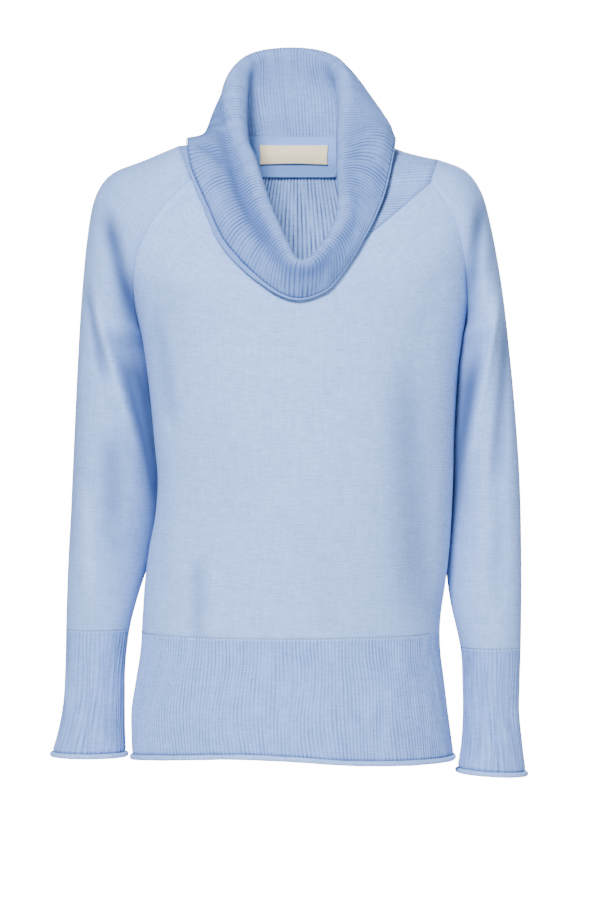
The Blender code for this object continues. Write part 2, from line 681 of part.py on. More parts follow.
def add_neck_pieces(finishes):
    """The plain facing over the back neck seam, and the blank label on it, laid on what is behind them."""
    for patch in NECK_PATCHES:
        tree = joined_tree(patch.behind)
        heights = np.linspace(patch.bottom, patch.top, patch.rows + 1)
        reaches = np.linspace(patch.bottom_turn, patch.top_turn, patch.rows + 1)
        grid = np.zeros((patch.rows + 1, patch.columns + 1, 3))
        way = np.zeros_like(grid)
        for r, (height, reach) in enumerate(zip(heights, reaches)):
            axis = Vector((NECK_AXIS[0] * MM, NECK_AXIS[1] * MM, height * MM))
            for c, share in enumerate(np.linspace(-1, 1, patch.columns + 1)):
                turn = math.radians(share * reach)
                way[r, c] = (math.sin(turn), math.cos(turn), 0)
                hit = tree.ray_cast(axis, Vector(way[r, c]))[0]
                grid[r, c] = np.array(hit) - way[r, c] * patch.clearance * MM
        add_patch(patch.name, grid, grid - way * patch.wall * MM, finishes[patch.name])


def main():
    """Clears the scene and builds every piece of the sweater."""
    for old in list(bpy.data.objects):
        bpy.data.objects.remove(old)
    knit = material("blue_jersey", BLUE, 0.9)
    rib = material("blue_rib", BLUE, 0.9)
    plain = material("facing_jersey", FACING_BLUE, 0.9)
    woven = material("label_cotton", CREAM, 0.8)
    neck = add_body_and_sleeves(knit)
    add_hem(rib)
    for arm in ARMS:
        add_cuff(arm, rib)
    add_collar(neck, rib)
    add_neck_pieces({"neck_facing": plain, "label": woven})


main()
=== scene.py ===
"""The finished look of a light blue cowl neck sweater, filled out as if it were worn.

Metres, +Z up, the front towards -Y and the wearer's left towards +X. The tables are in millimetres.
Every piece is a knitted wall worked out on a grid: an outer surface, an inner one a little behind it
along the normals, and the rims between them.
"""

import logging
import math
from dataclasses import dataclass, field
from enum import Enum
from typing import Any, Callable, NamedTuple, Sequence

import bpy
import numpy as np
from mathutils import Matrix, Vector
from mathutils.bvhtree import BVHTree


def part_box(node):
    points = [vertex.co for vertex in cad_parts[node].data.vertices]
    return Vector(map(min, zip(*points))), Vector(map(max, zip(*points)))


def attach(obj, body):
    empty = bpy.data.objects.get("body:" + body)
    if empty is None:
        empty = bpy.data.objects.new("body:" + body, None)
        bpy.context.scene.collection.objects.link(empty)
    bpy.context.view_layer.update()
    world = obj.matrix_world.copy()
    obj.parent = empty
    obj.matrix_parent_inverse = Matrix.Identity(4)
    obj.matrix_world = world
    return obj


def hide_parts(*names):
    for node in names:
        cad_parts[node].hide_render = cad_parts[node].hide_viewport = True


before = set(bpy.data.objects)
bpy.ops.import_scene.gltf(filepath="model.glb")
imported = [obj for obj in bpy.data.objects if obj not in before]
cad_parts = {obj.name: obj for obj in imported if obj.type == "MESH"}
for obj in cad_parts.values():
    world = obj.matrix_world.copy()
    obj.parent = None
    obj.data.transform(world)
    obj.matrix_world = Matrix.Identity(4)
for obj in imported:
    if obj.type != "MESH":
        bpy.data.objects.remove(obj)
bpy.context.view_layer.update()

LOG = logging.getLogger("sweater")
MM = 0.001
Colour = tuple[float, float, float]
Array = np.ndarray


class Held(Enum):
    """How a piece of cloth is held."""

    WORN = "hung"
    FOLDED = "folded"
    STRETCHED = "stretched"
    LAID = "laid"


# Tables of the garment's form


class Girth(NamedTuple):
    """A level section of the body: how far it reaches to each side, forwards and backwards."""

    height: float
    left: float
    right: float
    front: float
    back: float


TORSO = (
    Girth(-190, -170, 186, -116, 108),
    Girth(-228, -164, 180, -120, 107),
    Girth(-270, -159, 177, -123, 105),
    Girth(-313, -155, 175, -125, 102),
    Girth(-357, -151, 174, -125, 99),
    Girth(-400, -154, 172, -124, 98),
    Girth(-430, -160, 170, -122, 98),
    Girth(-467, -165, 166, -120, 100),
    Girth(-511, -168, 160, -119, 103),
    Girth(-544, -170, 160, -119, 106),
    Girth(-577, -175, 164, -120, 110),
    Girth(-610, -180, 168, -122, 113),
    Girth(-640, -180, 172, -124, 116),
    Girth(-662, -179, 175, -125, 118),
)
HEM_TOP = -525
HEM_SEAM = 0.02


class Mark(NamedTuple):
    """A height at a turn, in degrees from the front towards the wearer's left."""

    turn: float
    height: float


HEM_ENDS = (
    Mark(0, -648),
    Mark(20, -653),
    Mark(45, -656),
    Mark(90, -658),
    Mark(135, -655),
    Mark(180, -652),
    Mark(225, -656),
    Mark(270, -658),
    Mark(310, -651.5),
    Mark(340, -646.5),
)


class Row(NamedTuple):
    """A row of a sleeve: its outer edge, its two seams, its depths and how far round it reaches."""

    out_x: float
    out_z: float
    front_x: float
    front_z: float
    back_x: float
    back_z: float
    front: float
    back: float
    reach: float


def hanging(out_x: float, height: float, seam_x: float, front: float, back: float) -> Row:
    """A level row of a sleeve below the armpit, where its two seams have met."""
    return Row(out_x, height, seam_x, height, seam_x, height, front, back, 180)


LEFT_ARM = (
    Row(157, -5, 146, -36, 140, -20, 52, 50, 88),
    Row(187, -17, 161, -56, 158, -46, 60, 60, 94),
    Row(205, -41, 173, -80, 173, -74, 63, 65, 102),
    Row(214.5, -74, 181, -106, 182, -102, 62, 66, 114),
    Row(221.5, -109, 186, -134, 187, -132, 60, 64, 130),
    Row(227.5, -146, 188, -163, 188, -162, 57, 61, 152),
    Row(232.5, -184, 187, -190, 187, -190, 55, 59, 180),
    Row(237, -226, 178.6, -228, 178.6, -228, 54, 57, 180),
    hanging(241, -268, 176.2, 53, 56),
    hanging(244.5, -312, 172.8, 51, 54),
    hanging(247.2, -356, 171.6, 48, 51),
    hanging(248.6, -400, 169.8, 46, 47),
    hanging(249.2, -445, 166.8, 43, 43),
    hanging(249.2, -490, 171, 39, 39),
    hanging(248.5, -542, 182, 35, 34),
    hanging(247.5, -580, 184, 32, 31),
    hanging(247, -612, 184.5, 31, 30),
    hanging(250, -645, 183, 31, 30),
    Row(254, -677, 179, -673, 179, -673, 33, 31, 180),
)
RIGHT_ARM = (
    Row(-128, 10, -112, -32, -112, -14, 56, 52, 88),
    Row(-168, -7, -136, -54, -137, -40, 61, 61, 92),
    Row(-202, -21, -155, -80, -157, -70, 64, 66, 100),
    Row(-220, -47, -169, -107, -172, -100, 64, 67, 110),
    Row(-228, -88, -175, -136, -177, -132, 61, 64, 126),
    Row(-233, -137, -175, -164, -176, -163, 58, 60, 150),
    Row(-236.5, -184, -171, -191, -171, -191, 56, 58, 180),
    hanging(-239, -228, -162.4, 55, 57),
    hanging(-241, -268, -158.8, 54, 56),
    hanging(-243, -312, -153.3, 52, 54),
    hanging(-245, -356, -149.3, 49, 51),
    hanging(-247, -400, -152.2, 46, 47),
    hanging(-249.5, -445, -160.9, 42, 42),
    hanging(-251, -485, -173, 38, 38),
    hanging(-252, -522, -182, 35, 34),
    hanging(-253, -562, -186.5, 32, 31),
    hanging(-255, -600, -187, 31, 30),
    hanging(-260, -630, -187, 31, 30),
    hanging(-267, -655.5, -186, 33, 31),
)
ARMS = {"left": LEFT_ARM, "right": RIGHT_ARM}
ARMPIT_ROW = 6
CUFF_ROW = 14
CUFF_END = 18
SEAM_ROWS = 0.001


class Yoke(NamedTuple):
    """A row of a panel above the armpits: its middle, how far it turns, and how round it hangs."""

    x: float
    height: float
    depth: float
    turn: float
    dip: float


FRONT_YOKE = (
    Yoke(8, -147, -105, 56, 1.15),
    Yoke(8, -153, -107.5, 62, 1.3),
    Yoke(8, -160, -109.5, 68, 1.5),
    Yoke(8, -167, -111.5, 75, 1.7),
    Yoke(8, -175, -113.5, 82, 1.9),
    Yoke(8, -182, -115, 87, 2),
    Yoke(8, -190, -116, 90, 2),
)
BACK_YOKE = (
    Yoke(5, 4, 67, 60, 2),
    Yoke(6, -28, 83, 64, 2),
    Yoke(7, -60, 94, 70, 2),
    Yoke(8, -93, 101, 76, 2),
    Yoke(8, -126, 105, 83, 2),
    Yoke(8, -158, 107.5, 88, 2),
    Yoke(8, -190, 108, 90, 2),
)


class Cowl(NamedTuple):
    """A section of the collar: its rim's roll, its lower edge, and how far the fall stands out."""

    turn: float
    rim_x: float
    rim_y: float
    rim_z: float
    roll: float
    edge_x: float
    edge_y: float
    edge_z: float
    swell: float
    sweep: float


COLLAR = (
    Cowl(0, 7, -127, -131, 5.5, 5, -117, -163, 3, 3),
    Cowl(12, 20, -123, -127, 6, 22, -116, -159, 3, 3),
    Cowl(24, 32, -113, -116, 8, 37, -115, -150, 4, 4),
    Cowl(38, 44, -101, -101, 9, 55, -109.5, -127, 5, 5),
    Cowl(52, 54, -84, -80, 10, 70, -103.5, -102, 6, 6),
    Cowl(66, 58, -63, -54, 10, 84, -92, -75, 7, 7),
    Cowl(78, 58, -40, -26, 11, 97, -67, -40, 9, 8),
    Cowl(90, 58, -12, 14, 11, 108, -14, 16, 14, 13),
    Cowl(120, 59.5, 30, 67, 12.5, 102, 54, 18, 12, 12),
    Cowl(150, 42, 62, 109, 8, 62, 84, -8, 14, 13),
    Cowl(180, -3, 74, 120, 8, -2, 91, -17, 9, 9),
    Cowl(210, -51, 63, 110, 8, -65, 84, -8, 10, 7),
    Cowl(240, -67, 30, 69, 14, -105, 55, 14, 1, -5),
    Cowl(270, -63, -12, 14, 11, -117, -21, 15, 5, 0),
    Cowl(281, -54, -34, -9, 10, -112, -61, -19, 6, 5),
    Cowl(294, -45, -58, -38, 10, -94, -85, -61, 6, 8),
    Cowl(308, -34, -80, -68, 9, -77, -99, -98, 4, 6),
    Cowl(322, -24, -97, -92, 9, -55, -107.5, -125, 3, 4),
    Cowl(336, -14, -111, -112, 8, -32, -114, -146, 3, 4),
    Cowl(348, -5, -123, -126, 6, -12, -116, -159, 3, 3),
)


# At these turns: how deep the groove above the collar's rolled edge is, which also sets its painted shade, and
# how much of the strip shows.
GROOVE_TURNS = (0, 15, 40, 90, 180, 276, 288, 304, 322, 340, 360)
GROOVE_MARKS = (0.5, 0.35, 0.12, 0.15, 0.4, 0.7, 1.0, 1.0, 0.9, 0.6, 0.5)
# How strong the painted shadow under the collar's rim is at each turn.
UNDER_RIM_SHADE_TURNS = (0, 40, 90, 180, 270, 320, 360)
UNDER_RIM_SHADE_MARKS = (1.0, 0.8, 0.1, 0.0, 0.4, 0.8, 1.0)
STRIP_SHARES = (0.45, 0.40, 0.30, 0.35, 0.35, 0.20, 0.65, 1.0, 0.95, 0.6, 0.45)


class Crease(NamedTuple):
    """A soft crease in the collar's fall: a broken line of x and z in the front view, its depth and width."""

    points: tuple[tuple[float, float], ...]
    depth: float
    width: float


def collar_line(part: str, turns: Array) -> Array:
    """The middle of the collar's rim, or its lower edge, in metres."""
    return np.stack([around(COLLAR, part + axis, turns) for axis in ("_x", "_y", "_z")], axis=-1) * MM


CREASES = (
    Crease(((-80, 22), (-68, -14), (-59, -48), (-46, -76), (-32, -98), (-12, -114)), 4.0, 7),
    Crease(((-112, 8), (-96, 4), (-82, -8), (-74, -26)), 3.0, 6),
    Crease(((-100, -30), (-84, -62), (-64, -92), (-40, -116)), -1.5, 8),
    Crease(((92, 0), (90, -34), (74, -66)), 1.4, 10),
    Crease(((20, -118), (44, -102), (64, -78)), 2.0, 7),
)


class Fold(NamedTuple):
    """A soft trough (or a ridge, with a depth below 0) in the front view, from one end to the other."""

    face: str
    x0: float
    z0: float
    x1: float
    z1: float
    depth: float
    width: float


def folds_on(face: str, *rows: tuple[float, float, float, float, float, float]) -> tuple[Fold, ...]:
    """Folds of one face from rows of x0, z0, x1, z1, depth and width."""
    return tuple(Fold(face, *row) for row in rows)


BODY_FOLDS = folds_on(
    "front",
    (121, -200, 135, -545, 9, 21), (156, -320, 157, -510, -3, 11), (-105, -430, -107, -545, 6, 9),
    (-90, -430, -92, -540, -3, 8), (-138, -240, -132, -500, -4, 17), (-156, -150, -128, -330, 6, 10),
    (-150, -120, -112, -236, 1.6, 10), (168, -116, 126, -210, 1.8, 10), (30, -430, 44, -540, 1.6, 16),
    (-60, -300, -70, -420, 1.2, 18),
) + folds_on(
    "back",
    (110, -260, 118, -540, 8, 18), (-96, -280, -104, -540, 8, 18), (20, -330, 16, -540, 5, 20),
    (-60, -60, -140, -150, 2.4, 12), (70, -62, 150, -150, 2.4, 12), (60, -400, 72, -530, 2.6, 14),
    (-150, -200, -120, -330, 3.0, 11), (158, -210, 130, -330, 3.0, 11),
)
ARM_FOLDS = folds_on(
    "front",
    (206, -44, 184, -170, 9, 8), (229, -130, 172, -400, -11, 7), (236, -150, 216, -400, 9, 8),
    (206, -190, 170, -400, 10, 9), (222, -360, 224, -480, 4, 8), (232, -60, 206, -150, 2.6, 8),
    (205, -440, 230, -500, 2.6, 8), (-209, -56, -171, -188, 10, 9), (-231, -130, -146, -390, -11, 7),
    (-231, -130, -202, -260, 9, 6), (-200, -190, -150, -380, 10, 9), (-200, -300, -194, -420, 6, 13),
    (-232, -350, -222, -500, -4, 10), (-158, -470, -152, -560, 3.0, 8), (-214, -400, -184, -446, 2.8, 7),
) + folds_on(
    "back",
    (206, -60, 186, -170, 8, 9), (-210, -60, -176, -180, 8, 9), (216, -150, 192, -360, 9, 11),
    (-220, -150, -180, -360, 9, 11), (226, -250, 206, -380, 2.4, 8), (-226, -260, -190, -400, 2.8, 8),
)
# Painted shade, not pressed into the cloth: each depth is how far the colour darkens towards the shadow blue,
# in the creases, in the crevices beside the body, over the tops of the shoulders and broadly down both sleeves.
BODY_PAINTED_SHADES = folds_on(
    "front",
    (150, -300, 152, -560, 0.08, 18), (-160, -170, -144, -330, 0.07, 9),
)
ARM_PAINTED_SHADES = folds_on(
    "front",
    (-186, -185, -143, -425, 0.60, 10), (198, -190, 167, -435, 0.62, 10), (-208, -50, -168, -215, 0.32, 8),
    (204, -40, 184, -215, 0.28, 7), (-229, -130, -203, -275, 0.20, 4), (233, -140, 224, -400, 0.12, 7),
    (-198, -290, -196, -470, 0.16, 15), (-212, 90, -228, -690, 0.19, 60), (222, 60, 232, -690, 0.06, 60),
    (-244, -200, -244, -470, 0.14, 12), (-140, 40, -215, -110, 0.13, 40), (160, 30, 215, -110, 0.13, 40),
)
FOLD_FADE = 32
EDGE_STEPS = (0.0018, 5)
TOP_STEPS = (0.0, 0.006, 0.014)
END_STEPS = (0.985, 0.994, 1.0)


# Curves and grids


def smooth(values: Sequence[float], at: Array) -> Array:
    """A column's value at fractional row numbers, on a cubic curve through every row."""
    v = np.asarray(values, float)
    slope = np.gradient(v)
    at = np.clip(np.asarray(at, float), 0, len(v) - 1)
    i = np.minimum(at.astype(int), len(v) - 2)
    f = at - i
    ahead = f * f * (3 - 2 * f) * v[i + 1] + f * f * (f - 1) * slope[i + 1]
    return (1 + 2 * f) * (1 - f) ** 2 * v[i] + f * (1 - f) ** 2 * slope[i] + ahead


def column(table: Sequence[Any], name: str, at: Array) -> Array:
    """The named column of a table at fractional row numbers."""
    return smooth([getattr(row, name) for row in table], at)


def around(table: Sequence[Any], name: str, turns: Array) -> Array:
    """The named column of a table that closes on itself, at 0 to 1 turns."""
    v = np.array([getattr(row, name) for row in table], float)
    wrapped = np.concatenate([v[-2:], v, v[:3]])
    marks = [row.turn / 360 for row in table] + [1.0]
    return smooth(wrapped, 2 + np.interp(np.asarray(turns) % 1.0, marks, np.arange(len(v) + 1)))


def ease(x: Array) -> Array:
    """Rises smoothly from 0 to 1 as x does: 3x^2 - 2x^3."""
    x = np.clip(x, 0, 1)
    return x * x * (3 - 2 * x)


def unit(vectors: Array) -> Array:
    """The vectors, each made one long."""
    return vectors / np.maximum(np.linalg.norm(vectors, axis=-1, keepdims=True), 1e-12)


def directions_of(grid: Array, axis: int, closed: bool = False) -> Array:
    """The direction of a grid's lines at every point: halfway between the steps before and after."""
    lines = np.swapaxes(grid, 0, axis)
    if closed:
        steps = unit(np.roll(lines, -1, axis=0) - lines)
        total = steps + np.roll(steps, 1, axis=0)
    else:
        steps = unit(np.diff(lines, axis=0))
        total = np.concatenate([steps[:1], steps[1:] + steps[:-1], steps[-1:]])
    return np.swapaxes(unit(total), 0, axis)


def normals_of(grid: Array, outwards: Array, closed: bool = False) -> Array:
    """Unit normals of a grid: the cross product of its two directions.

    Args:
        grid: Rows of points.
        outwards: A rough outward direction for every point, which settles the sign.
        closed: Whether the last column joins the first.

    Returns:
        A normal for every point.
    """
    normals = unit(np.cross(directions_of(grid, 1, closed), directions_of(grid, 0)))
    return normals if (normals * outwards).sum() > 0 else -normals


def relaxed(grid: Array, passes: int, axis: int = 0) -> Array:
    """A grid whose lines have each inner point averaged with its neighbours: (before + 2 here + after) / 4."""
    lines = np.swapaxes(grid.copy(), 0, axis)
    for _ in range(passes):
        lines[1:-1] = (lines[:-2] + 2 * lines[1:-1] + lines[2:]) / 4
    return np.swapaxes(lines, 0, axis)


def lengths_along(grid: Array, axis: int) -> Array:
    """How far along its line each point of a grid lies, from the line's start."""
    lines = np.swapaxes(grid, 0, axis)
    steps = np.linalg.norm(np.diff(lines, axis=0), axis=-1)
    total = np.concatenate([np.zeros_like(steps[:1]), np.cumsum(steps, axis=0)])
    return np.swapaxes(total, 0, axis) if total.ndim > 1 else total


def surface_area(grid: Array, closed: bool = False) -> float:
    """The area of a grid of points, from the cross products of its cells' diagonals."""
    if closed:
        grid = np.concatenate([grid, grid[:, :1]], axis=1)
    first = grid[1:, 1:] - grid[:-1, :-1]
    second = grid[1:, :-1] - grid[:-1, 1:]
    return float(np.linalg.norm(np.cross(first, second), axis=-1).sum() / 2)


def even_turns(ring_at: Callable[[Array], Array], count: int) -> Array:
    """Turns, from 0 to 1, that share a ring's length evenly."""
    fine = np.linspace(0, 1, 1441)
    length = lengths_along(ring_at(fine), 0)
    return np.interp(np.arange(count) / count * length[-1], length, fine)


def graded(steps: int, first: float, levels: int) -> Array:
    """Shares from 0 to 1 in even steps, with finer steps near both ends, the finest being `first`."""
    ends = first * 1.7 ** np.arange(levels) * np.linspace(1, 2, levels)
    shares = np.linspace(0, 1, steps + 1)
    inner = shares[(shares > ends[-1] + 0.4 / steps) & (shares < 1 - ends[-1] - 0.4 / steps)]
    return np.concatenate([[0], ends, inner, 1 - ends[::-1], [1]])


# The garment's outer surface


@dataclass(frozen=True)
class Form:
    """The outer surface of the body and sleeves, in millimetres, as functions of two parameters."""

    ripple: float = 0.7
    lean: float = 22.0
    lean_rows: float = 0.8
    cuff_rows: float = 2.5
    hug: float = 1.7
    hug_rows: float = 0.15
    hug_ends: float = 1.6
    hug_fade: float = 0.9
    fold_ends: float = 0.3
    seam_share: float = 0.12

    def pressed(self, points: Array, folds: Sequence[Fold], past: float = 0.0) -> Array:
        """How deep folds are at points in millimetres: depth x exp(-(across / width)^2), eased at the ends.

        They fade out towards the garment's sides, or `past` millimetres beyond them. For the painted shade
        tables the same sum is a painted shade instead of a depth.
        """
        x, y, z = points[..., 0], points[..., 1], points[..., 2]
        total = np.zeros(points.shape[:-1])
        for fold in folds:
            start = np.array([fold.x0, fold.z0], float)
            along = np.array([fold.x1, fold.z1], float) - start
            length = np.hypot(*along)
            along /= length
            share = ((x - start[0]) * along[0] + (z - start[1]) * along[1]) / length
            across = (x - start[0]) * along[1] - (z - start[1]) * along[0]
            inwards = 1 if fold.face == "front" else -1
            ends = ease(share / self.fold_ends) * ease((1 - share) / self.fold_ends)
            press = fold.depth * np.exp(-((across / fold.width) ** 2)) * ends
            total += press * ease((past - inwards * y) / FOLD_FADE)
        return total

    def folded(self, points: Array, folds: Sequence[Fold]) -> Array:
        """Points with the folds pressed in along Y, towards the garment's middle, and a slight ripple."""
        shifted = points.copy()
        x, y, z = points[..., 0], points[..., 1], points[..., 2]
        shifted[..., 1] -= np.sign(y) * self.pressed(points, folds)
        wave = np.sin(x / 23 + z / 61) * np.sin(z / 47 - x / 90) + 0.6 * np.sin(x / 11 - z / 83)
        shifted[..., 1] += self.ripple * wave * np.sign(-y) * ease(np.abs(y) / 60)
        return shifted

    def sleeve(self, arm: str, row: Array, share: Array) -> Array:
        """Points of a sleeve.

        Each row is part of an oval: the outer point, less (1 - cos) of the way to the seam, and depth x sin.

        Args:
            arm: "left" or "right".
            row: Fractional row numbers.
            share: -1 at the front seam, over the outside of the arm, to 1 at the back seam.

        Returns:
            Points in millimetres.
        """
        table = ARMS[arm]
        row, share = np.broadcast_arrays(np.asarray(row, float), np.asarray(share, float))
        reach = np.radians(np.minimum(column(table, "reach", row), 180))
        angle = np.abs(share) * reach
        inward = (1 - np.cos(angle)) / (1 - np.cos(reach))
        front = share < 0
        seam_x = np.where(front, column(table, "front_x", row), column(table, "back_x", row))
        seam_z = np.where(front, column(table, "front_z", row), column(table, "back_z", row))
        depth = np.where(front, -column(table, "front", row), column(table, "back", row))
        out_x, out_z = column(table, "out_x", row), column(table, "out_z", row)
        x = out_x + (seam_x - out_x) * inward
        below = row - ARMPIT_ROW
        lean = self.lean * ease(below / self.lean_rows) * ease((CUFF_ROW - row) / self.cuff_rows)
        hug = self.hug * inward**2 * ease(below / self.hug_rows) * ease((self.hug_ends - below) / self.hug_fade)
        x += np.sign(seam_x - out_x) * hug
        z = out_z + (seam_z - out_z) * inward
        return self.folded(np.stack([x, depth * np.sin(angle) + lean * inward, z], axis=-1), ARM_FOLDS)

    def yoke(self, face: str, row: Array, share: Array) -> Array:
        """Points of the front or back between the raglan seams.

        Each row is an arc: x goes with sin, and the depth with 1 - cos, from the middle to the seam.
        """
        table = FRONT_YOKE if face == "front" else BACK_YOKE
        row, share = np.broadcast_arrays(np.asarray(row, float), np.asarray(share, float))
        end = -1.0 if face == "front" else 1.0
        edge = np.where((share > 0)[..., None], self.sleeve("left", row, end), self.sleeve("right", row, end))
        turn = np.radians(column(table, "turn", row))
        angle = np.abs(share) * turn
        out = np.sin(angle) / np.sin(turn)
        back = (1 - np.cos(angle)) / (1 - np.cos(turn))
        x = column(table, "x", row) * (1 - out) + edge[..., 0] * out
        y = column(table, "depth", row) * (1 - back) + edge[..., 1] * back
        rise = out ** column(table, "dip", row)
        z = column(table, "height", row) * (1 - rise) + edge[..., 2] * rise
        flat = np.stack([x, y, z], axis=-1)
        inside = ease((1 - np.abs(share)) / self.seam_share)[..., None]
        return flat + (self.folded(flat, BODY_FOLDS) - flat) * inside

    def torso(self, height: Array, angle: Array) -> Array:
        """Points of the body tube: four quarter ovals at each height, the angle in radians from the front."""
        height, angle = np.broadcast_arrays(np.asarray(height, float), np.asarray(angle, float))
        heights = [-row.height for row in TORSO]
        row = np.interp(-height, heights, np.arange(len(TORSO)))
        left, right = column(TORSO, "left", row), column(TORSO, "right", row)
        middle, half = (left + right) / 2, (right - left) / 2
        facing = np.cos(angle)
        depth = np.where(facing > 0, -column(TORSO, "front", row), column(TORSO, "back", row))
        around_body = np.stack([middle + half * np.sin(angle), -depth * facing, height], axis=-1)
        return self.folded(around_body, BODY_FOLDS)

    def panel(self, face: str, shares: Array, yoke_steps: int, torso_steps: int) -> Array:
        """The front or back, from the neck to the top of the hem, as rows of points in metres."""
        share = (shares * 2 - 1)[None, :]
        rows = np.linspace(0, ARMPIT_ROW, yoke_steps + 1)[:, None]
        heights = np.linspace(TORSO[0].height, HEM_TOP, torso_steps + 1)[1:, None]
        angle = share * math.pi / 2 if face == "front" else math.pi - share * math.pi / 2
        return np.concatenate([self.yoke(face, rows, share), self.torso(heights, angle)]) * MM

    def neck_edge(self, turns: Array) -> tuple[Array, Array, Array]:
        """The neck seam all round.

        Args:
            turns: 0 to 1, from the middle of the front towards the wearer's left.

        Returns:
            Points in metres, the way the cloth runs upwards there, and a rough outward normal.
        """
        share = np.linspace(0, 1, 121)[None, :]
        rows = np.array([[0.0], [0.25]])
        left, right = self.sleeve("left", rows, share - 1), self.sleeve("right", rows, -share)
        left_back, right_back = self.sleeve("left", rows, share), self.sleeve("right", rows, 1 - share)
        quarters = (
            np.concatenate([self.yoke("front", rows, share), left[:, 1:]], axis=1),
            np.concatenate([left_back, self.yoke("back", rows, 1 - share)[:, 1:]], axis=1),
            np.concatenate([self.yoke("back", rows, -share), right_back[:, 1:]], axis=1),
            np.concatenate([right, self.yoke("front", rows, share - 1)[:, 1:]], axis=1),
        )
        marks, points = [], []
        for quarter, part in enumerate(quarters):
            length = lengths_along(part[0], 0)
            marks.append((quarter + length / length[-1]) / 4)
            points.append(part)
        marks, both = np.concatenate(marks), np.concatenate(points, axis=1) * MM
        found = [np.stack([np.interp(turns, marks, line[:, k]) for k in range(3)], axis=-1) for line in both]
        beyond = unit(found[0] - found[1])
        ahead = directions_of(found[0], 0, closed=True)
        normal = unit(np.cross(ahead, beyond))
        outwards = found[0] - found[0].mean(axis=0)
        return found[0], beyond, normal if (normal * outwards).sum() > 0 else -normal


# Meshes


@dataclass
class Sheet:
    """A knitted wall ready to become a mesh: its two sides, its map and its shade.

    u and v are distances in metres along the columns and rows, for the stitches. shade is painted shade, with
    the
    faint dark lines of the seams: 0 where the cloth lies open and 1 at the bottom of a groove.
    """

    outer: Array
    inner: Array
    closed: bool
    u: Array
    v: Array
    shade: Array


def wall_faces(rows: int, columns: int, closed: bool, flip: bool) -> tuple[Array, Array]:
    """Quads of one side of a wall.

    Args:
        rows: Rows of points.
        columns: Columns of points.
        closed: Whether the last column joins the first.
        flip: Turns the faces the other way.

    Returns:
        Corner indices, and each corner's row and unwrapped column.
    """
    across = columns if closed else columns - 1
    r, c = np.meshgrid(np.arange(rows - 1), np.arange(across), indexing="ij")
    corner_rows = np.stack([r, r, r + 1, r + 1], axis=-1).reshape(-1, 4)
    corner_columns = np.stack([c, c + 1, c + 1, c], axis=-1).reshape(-1, 4)
    if flip:
        corner_rows, corner_columns = corner_rows[:, ::-1], corner_columns[:, ::-1]
    return corner_rows * columns + corner_columns % columns, np.stack([corner_rows, corner_columns], axis=-1)


def placed(name: str, data: Any) -> bpy.types.Object:
    """A new object in the scene, at the origin."""
    made = bpy.data.objects.new(name, data)
    bpy.context.scene.collection.objects.link(made)
    return made


def mesh_object(name: str, points: Array, quads: Array, uv: Array, shade: Array, rims: int) -> bpy.types.Object:
    """An object from points, quads, a UV for every corner and a painted shade for every point.

    The last `rims` quads are shaded flat, so that the sides' shading runs level to their edges.
    """
    mesh = bpy.data.meshes.new(name)
    mesh.vertices.add(len(points))
    mesh.vertices.foreach_set("co", points.astype(np.float32).ravel())
    mesh.loops.add(quads.size)
    mesh.loops.foreach_set("vertex_index", quads.astype(np.int32).ravel())
    mesh.polygons.add(len(quads))
    mesh.polygons.foreach_set("loop_start", np.arange(len(quads), dtype=np.int32) * 4)
    mesh.update(calc_edges=True)
    mesh.uv_layers.new(name="Knit").data.foreach_set("uv", uv.astype(np.float32).ravel())
    mesh.attributes.new("shade", "FLOAT", "POINT").data.foreach_set("value", shade.astype(np.float32).ravel())
    mesh.validate()
    mesh.polygons.foreach_set("use_smooth", np.arange(len(mesh.polygons)) < len(mesh.polygons) - rims)
    return placed(name, mesh)


def wall_object(name: str, sheet: Sheet) -> bpy.types.Object:
    """The closed mesh of a wall: its outer side, its inner side, and the rims between their borders."""
    rows, columns = sheet.outer.shape[:2]
    flip = facing_in(sheet)
    outer, marks = wall_faces(rows, columns, sheet.closed, flip)
    inner, inner_marks = wall_faces(rows, columns, sheet.closed, not flip)
    size = rows * columns
    quads, corners = [outer, inner + size], [marks, inner_marks]
    across = columns if sheet.closed else columns - 1
    c = np.arange(across)
    rims = [(0, c, 0, c + 1, flip), (rows - 1, c, rows - 1, c + 1, not flip)]
    if not sheet.closed:
        r = np.arange(rows - 1)
        rims += [(r, 0, r + 1, 0, not flip), (r, columns - 1, r + 1, columns - 1, flip)]
    for row_a, column_a, row_b, column_b, turned in rims:
        row_a, column_a, row_b, column_b = np.broadcast_arrays(row_a, column_a, row_b, column_b)
        a, b = row_a * columns + column_a % columns, row_b * columns + column_b % columns
        strip = np.stack([b, a, a + size, b + size], axis=-1)
        mark = np.stack([np.stack(pair, axis=-1) for pair in
                         ((row_b, column_b), (row_a, column_a), (row_a, column_a), (row_b, column_b))], axis=1)
        quads.append(strip[:, ::-1] if turned else strip)
        corners.append(mark[:, ::-1] if turned else mark)
    corner = np.concatenate(corners).reshape(-1, 2)
    uv = np.stack([sheet.u[corner[:, 1]], sheet.v[corner[:, 0]]], axis=-1)
    points = np.concatenate([sheet.outer.reshape(-1, 3), sheet.inner.reshape(-1, 3)])
    rim_count = sum(len(strip) for strip in quads[2:])
    return mesh_object(name, points, np.concatenate(quads), uv, np.tile(sheet.shade.ravel(), 2), rim_count)


def facing_in(sheet: Sheet) -> bool:
    """Whether a wall's outer side, wound as wall_faces winds it, would face its inner side."""
    a, b = sheet.outer[:-1, :-1], sheet.outer[1:, 1:]
    c, d = sheet.outer[:-1, 1:], sheet.outer[1:, :-1]
    facing = np.cross(b - a, d - c)
    return bool((facing * (sheet.outer - sheet.inner)[:-1, :-1]).sum() < 0)


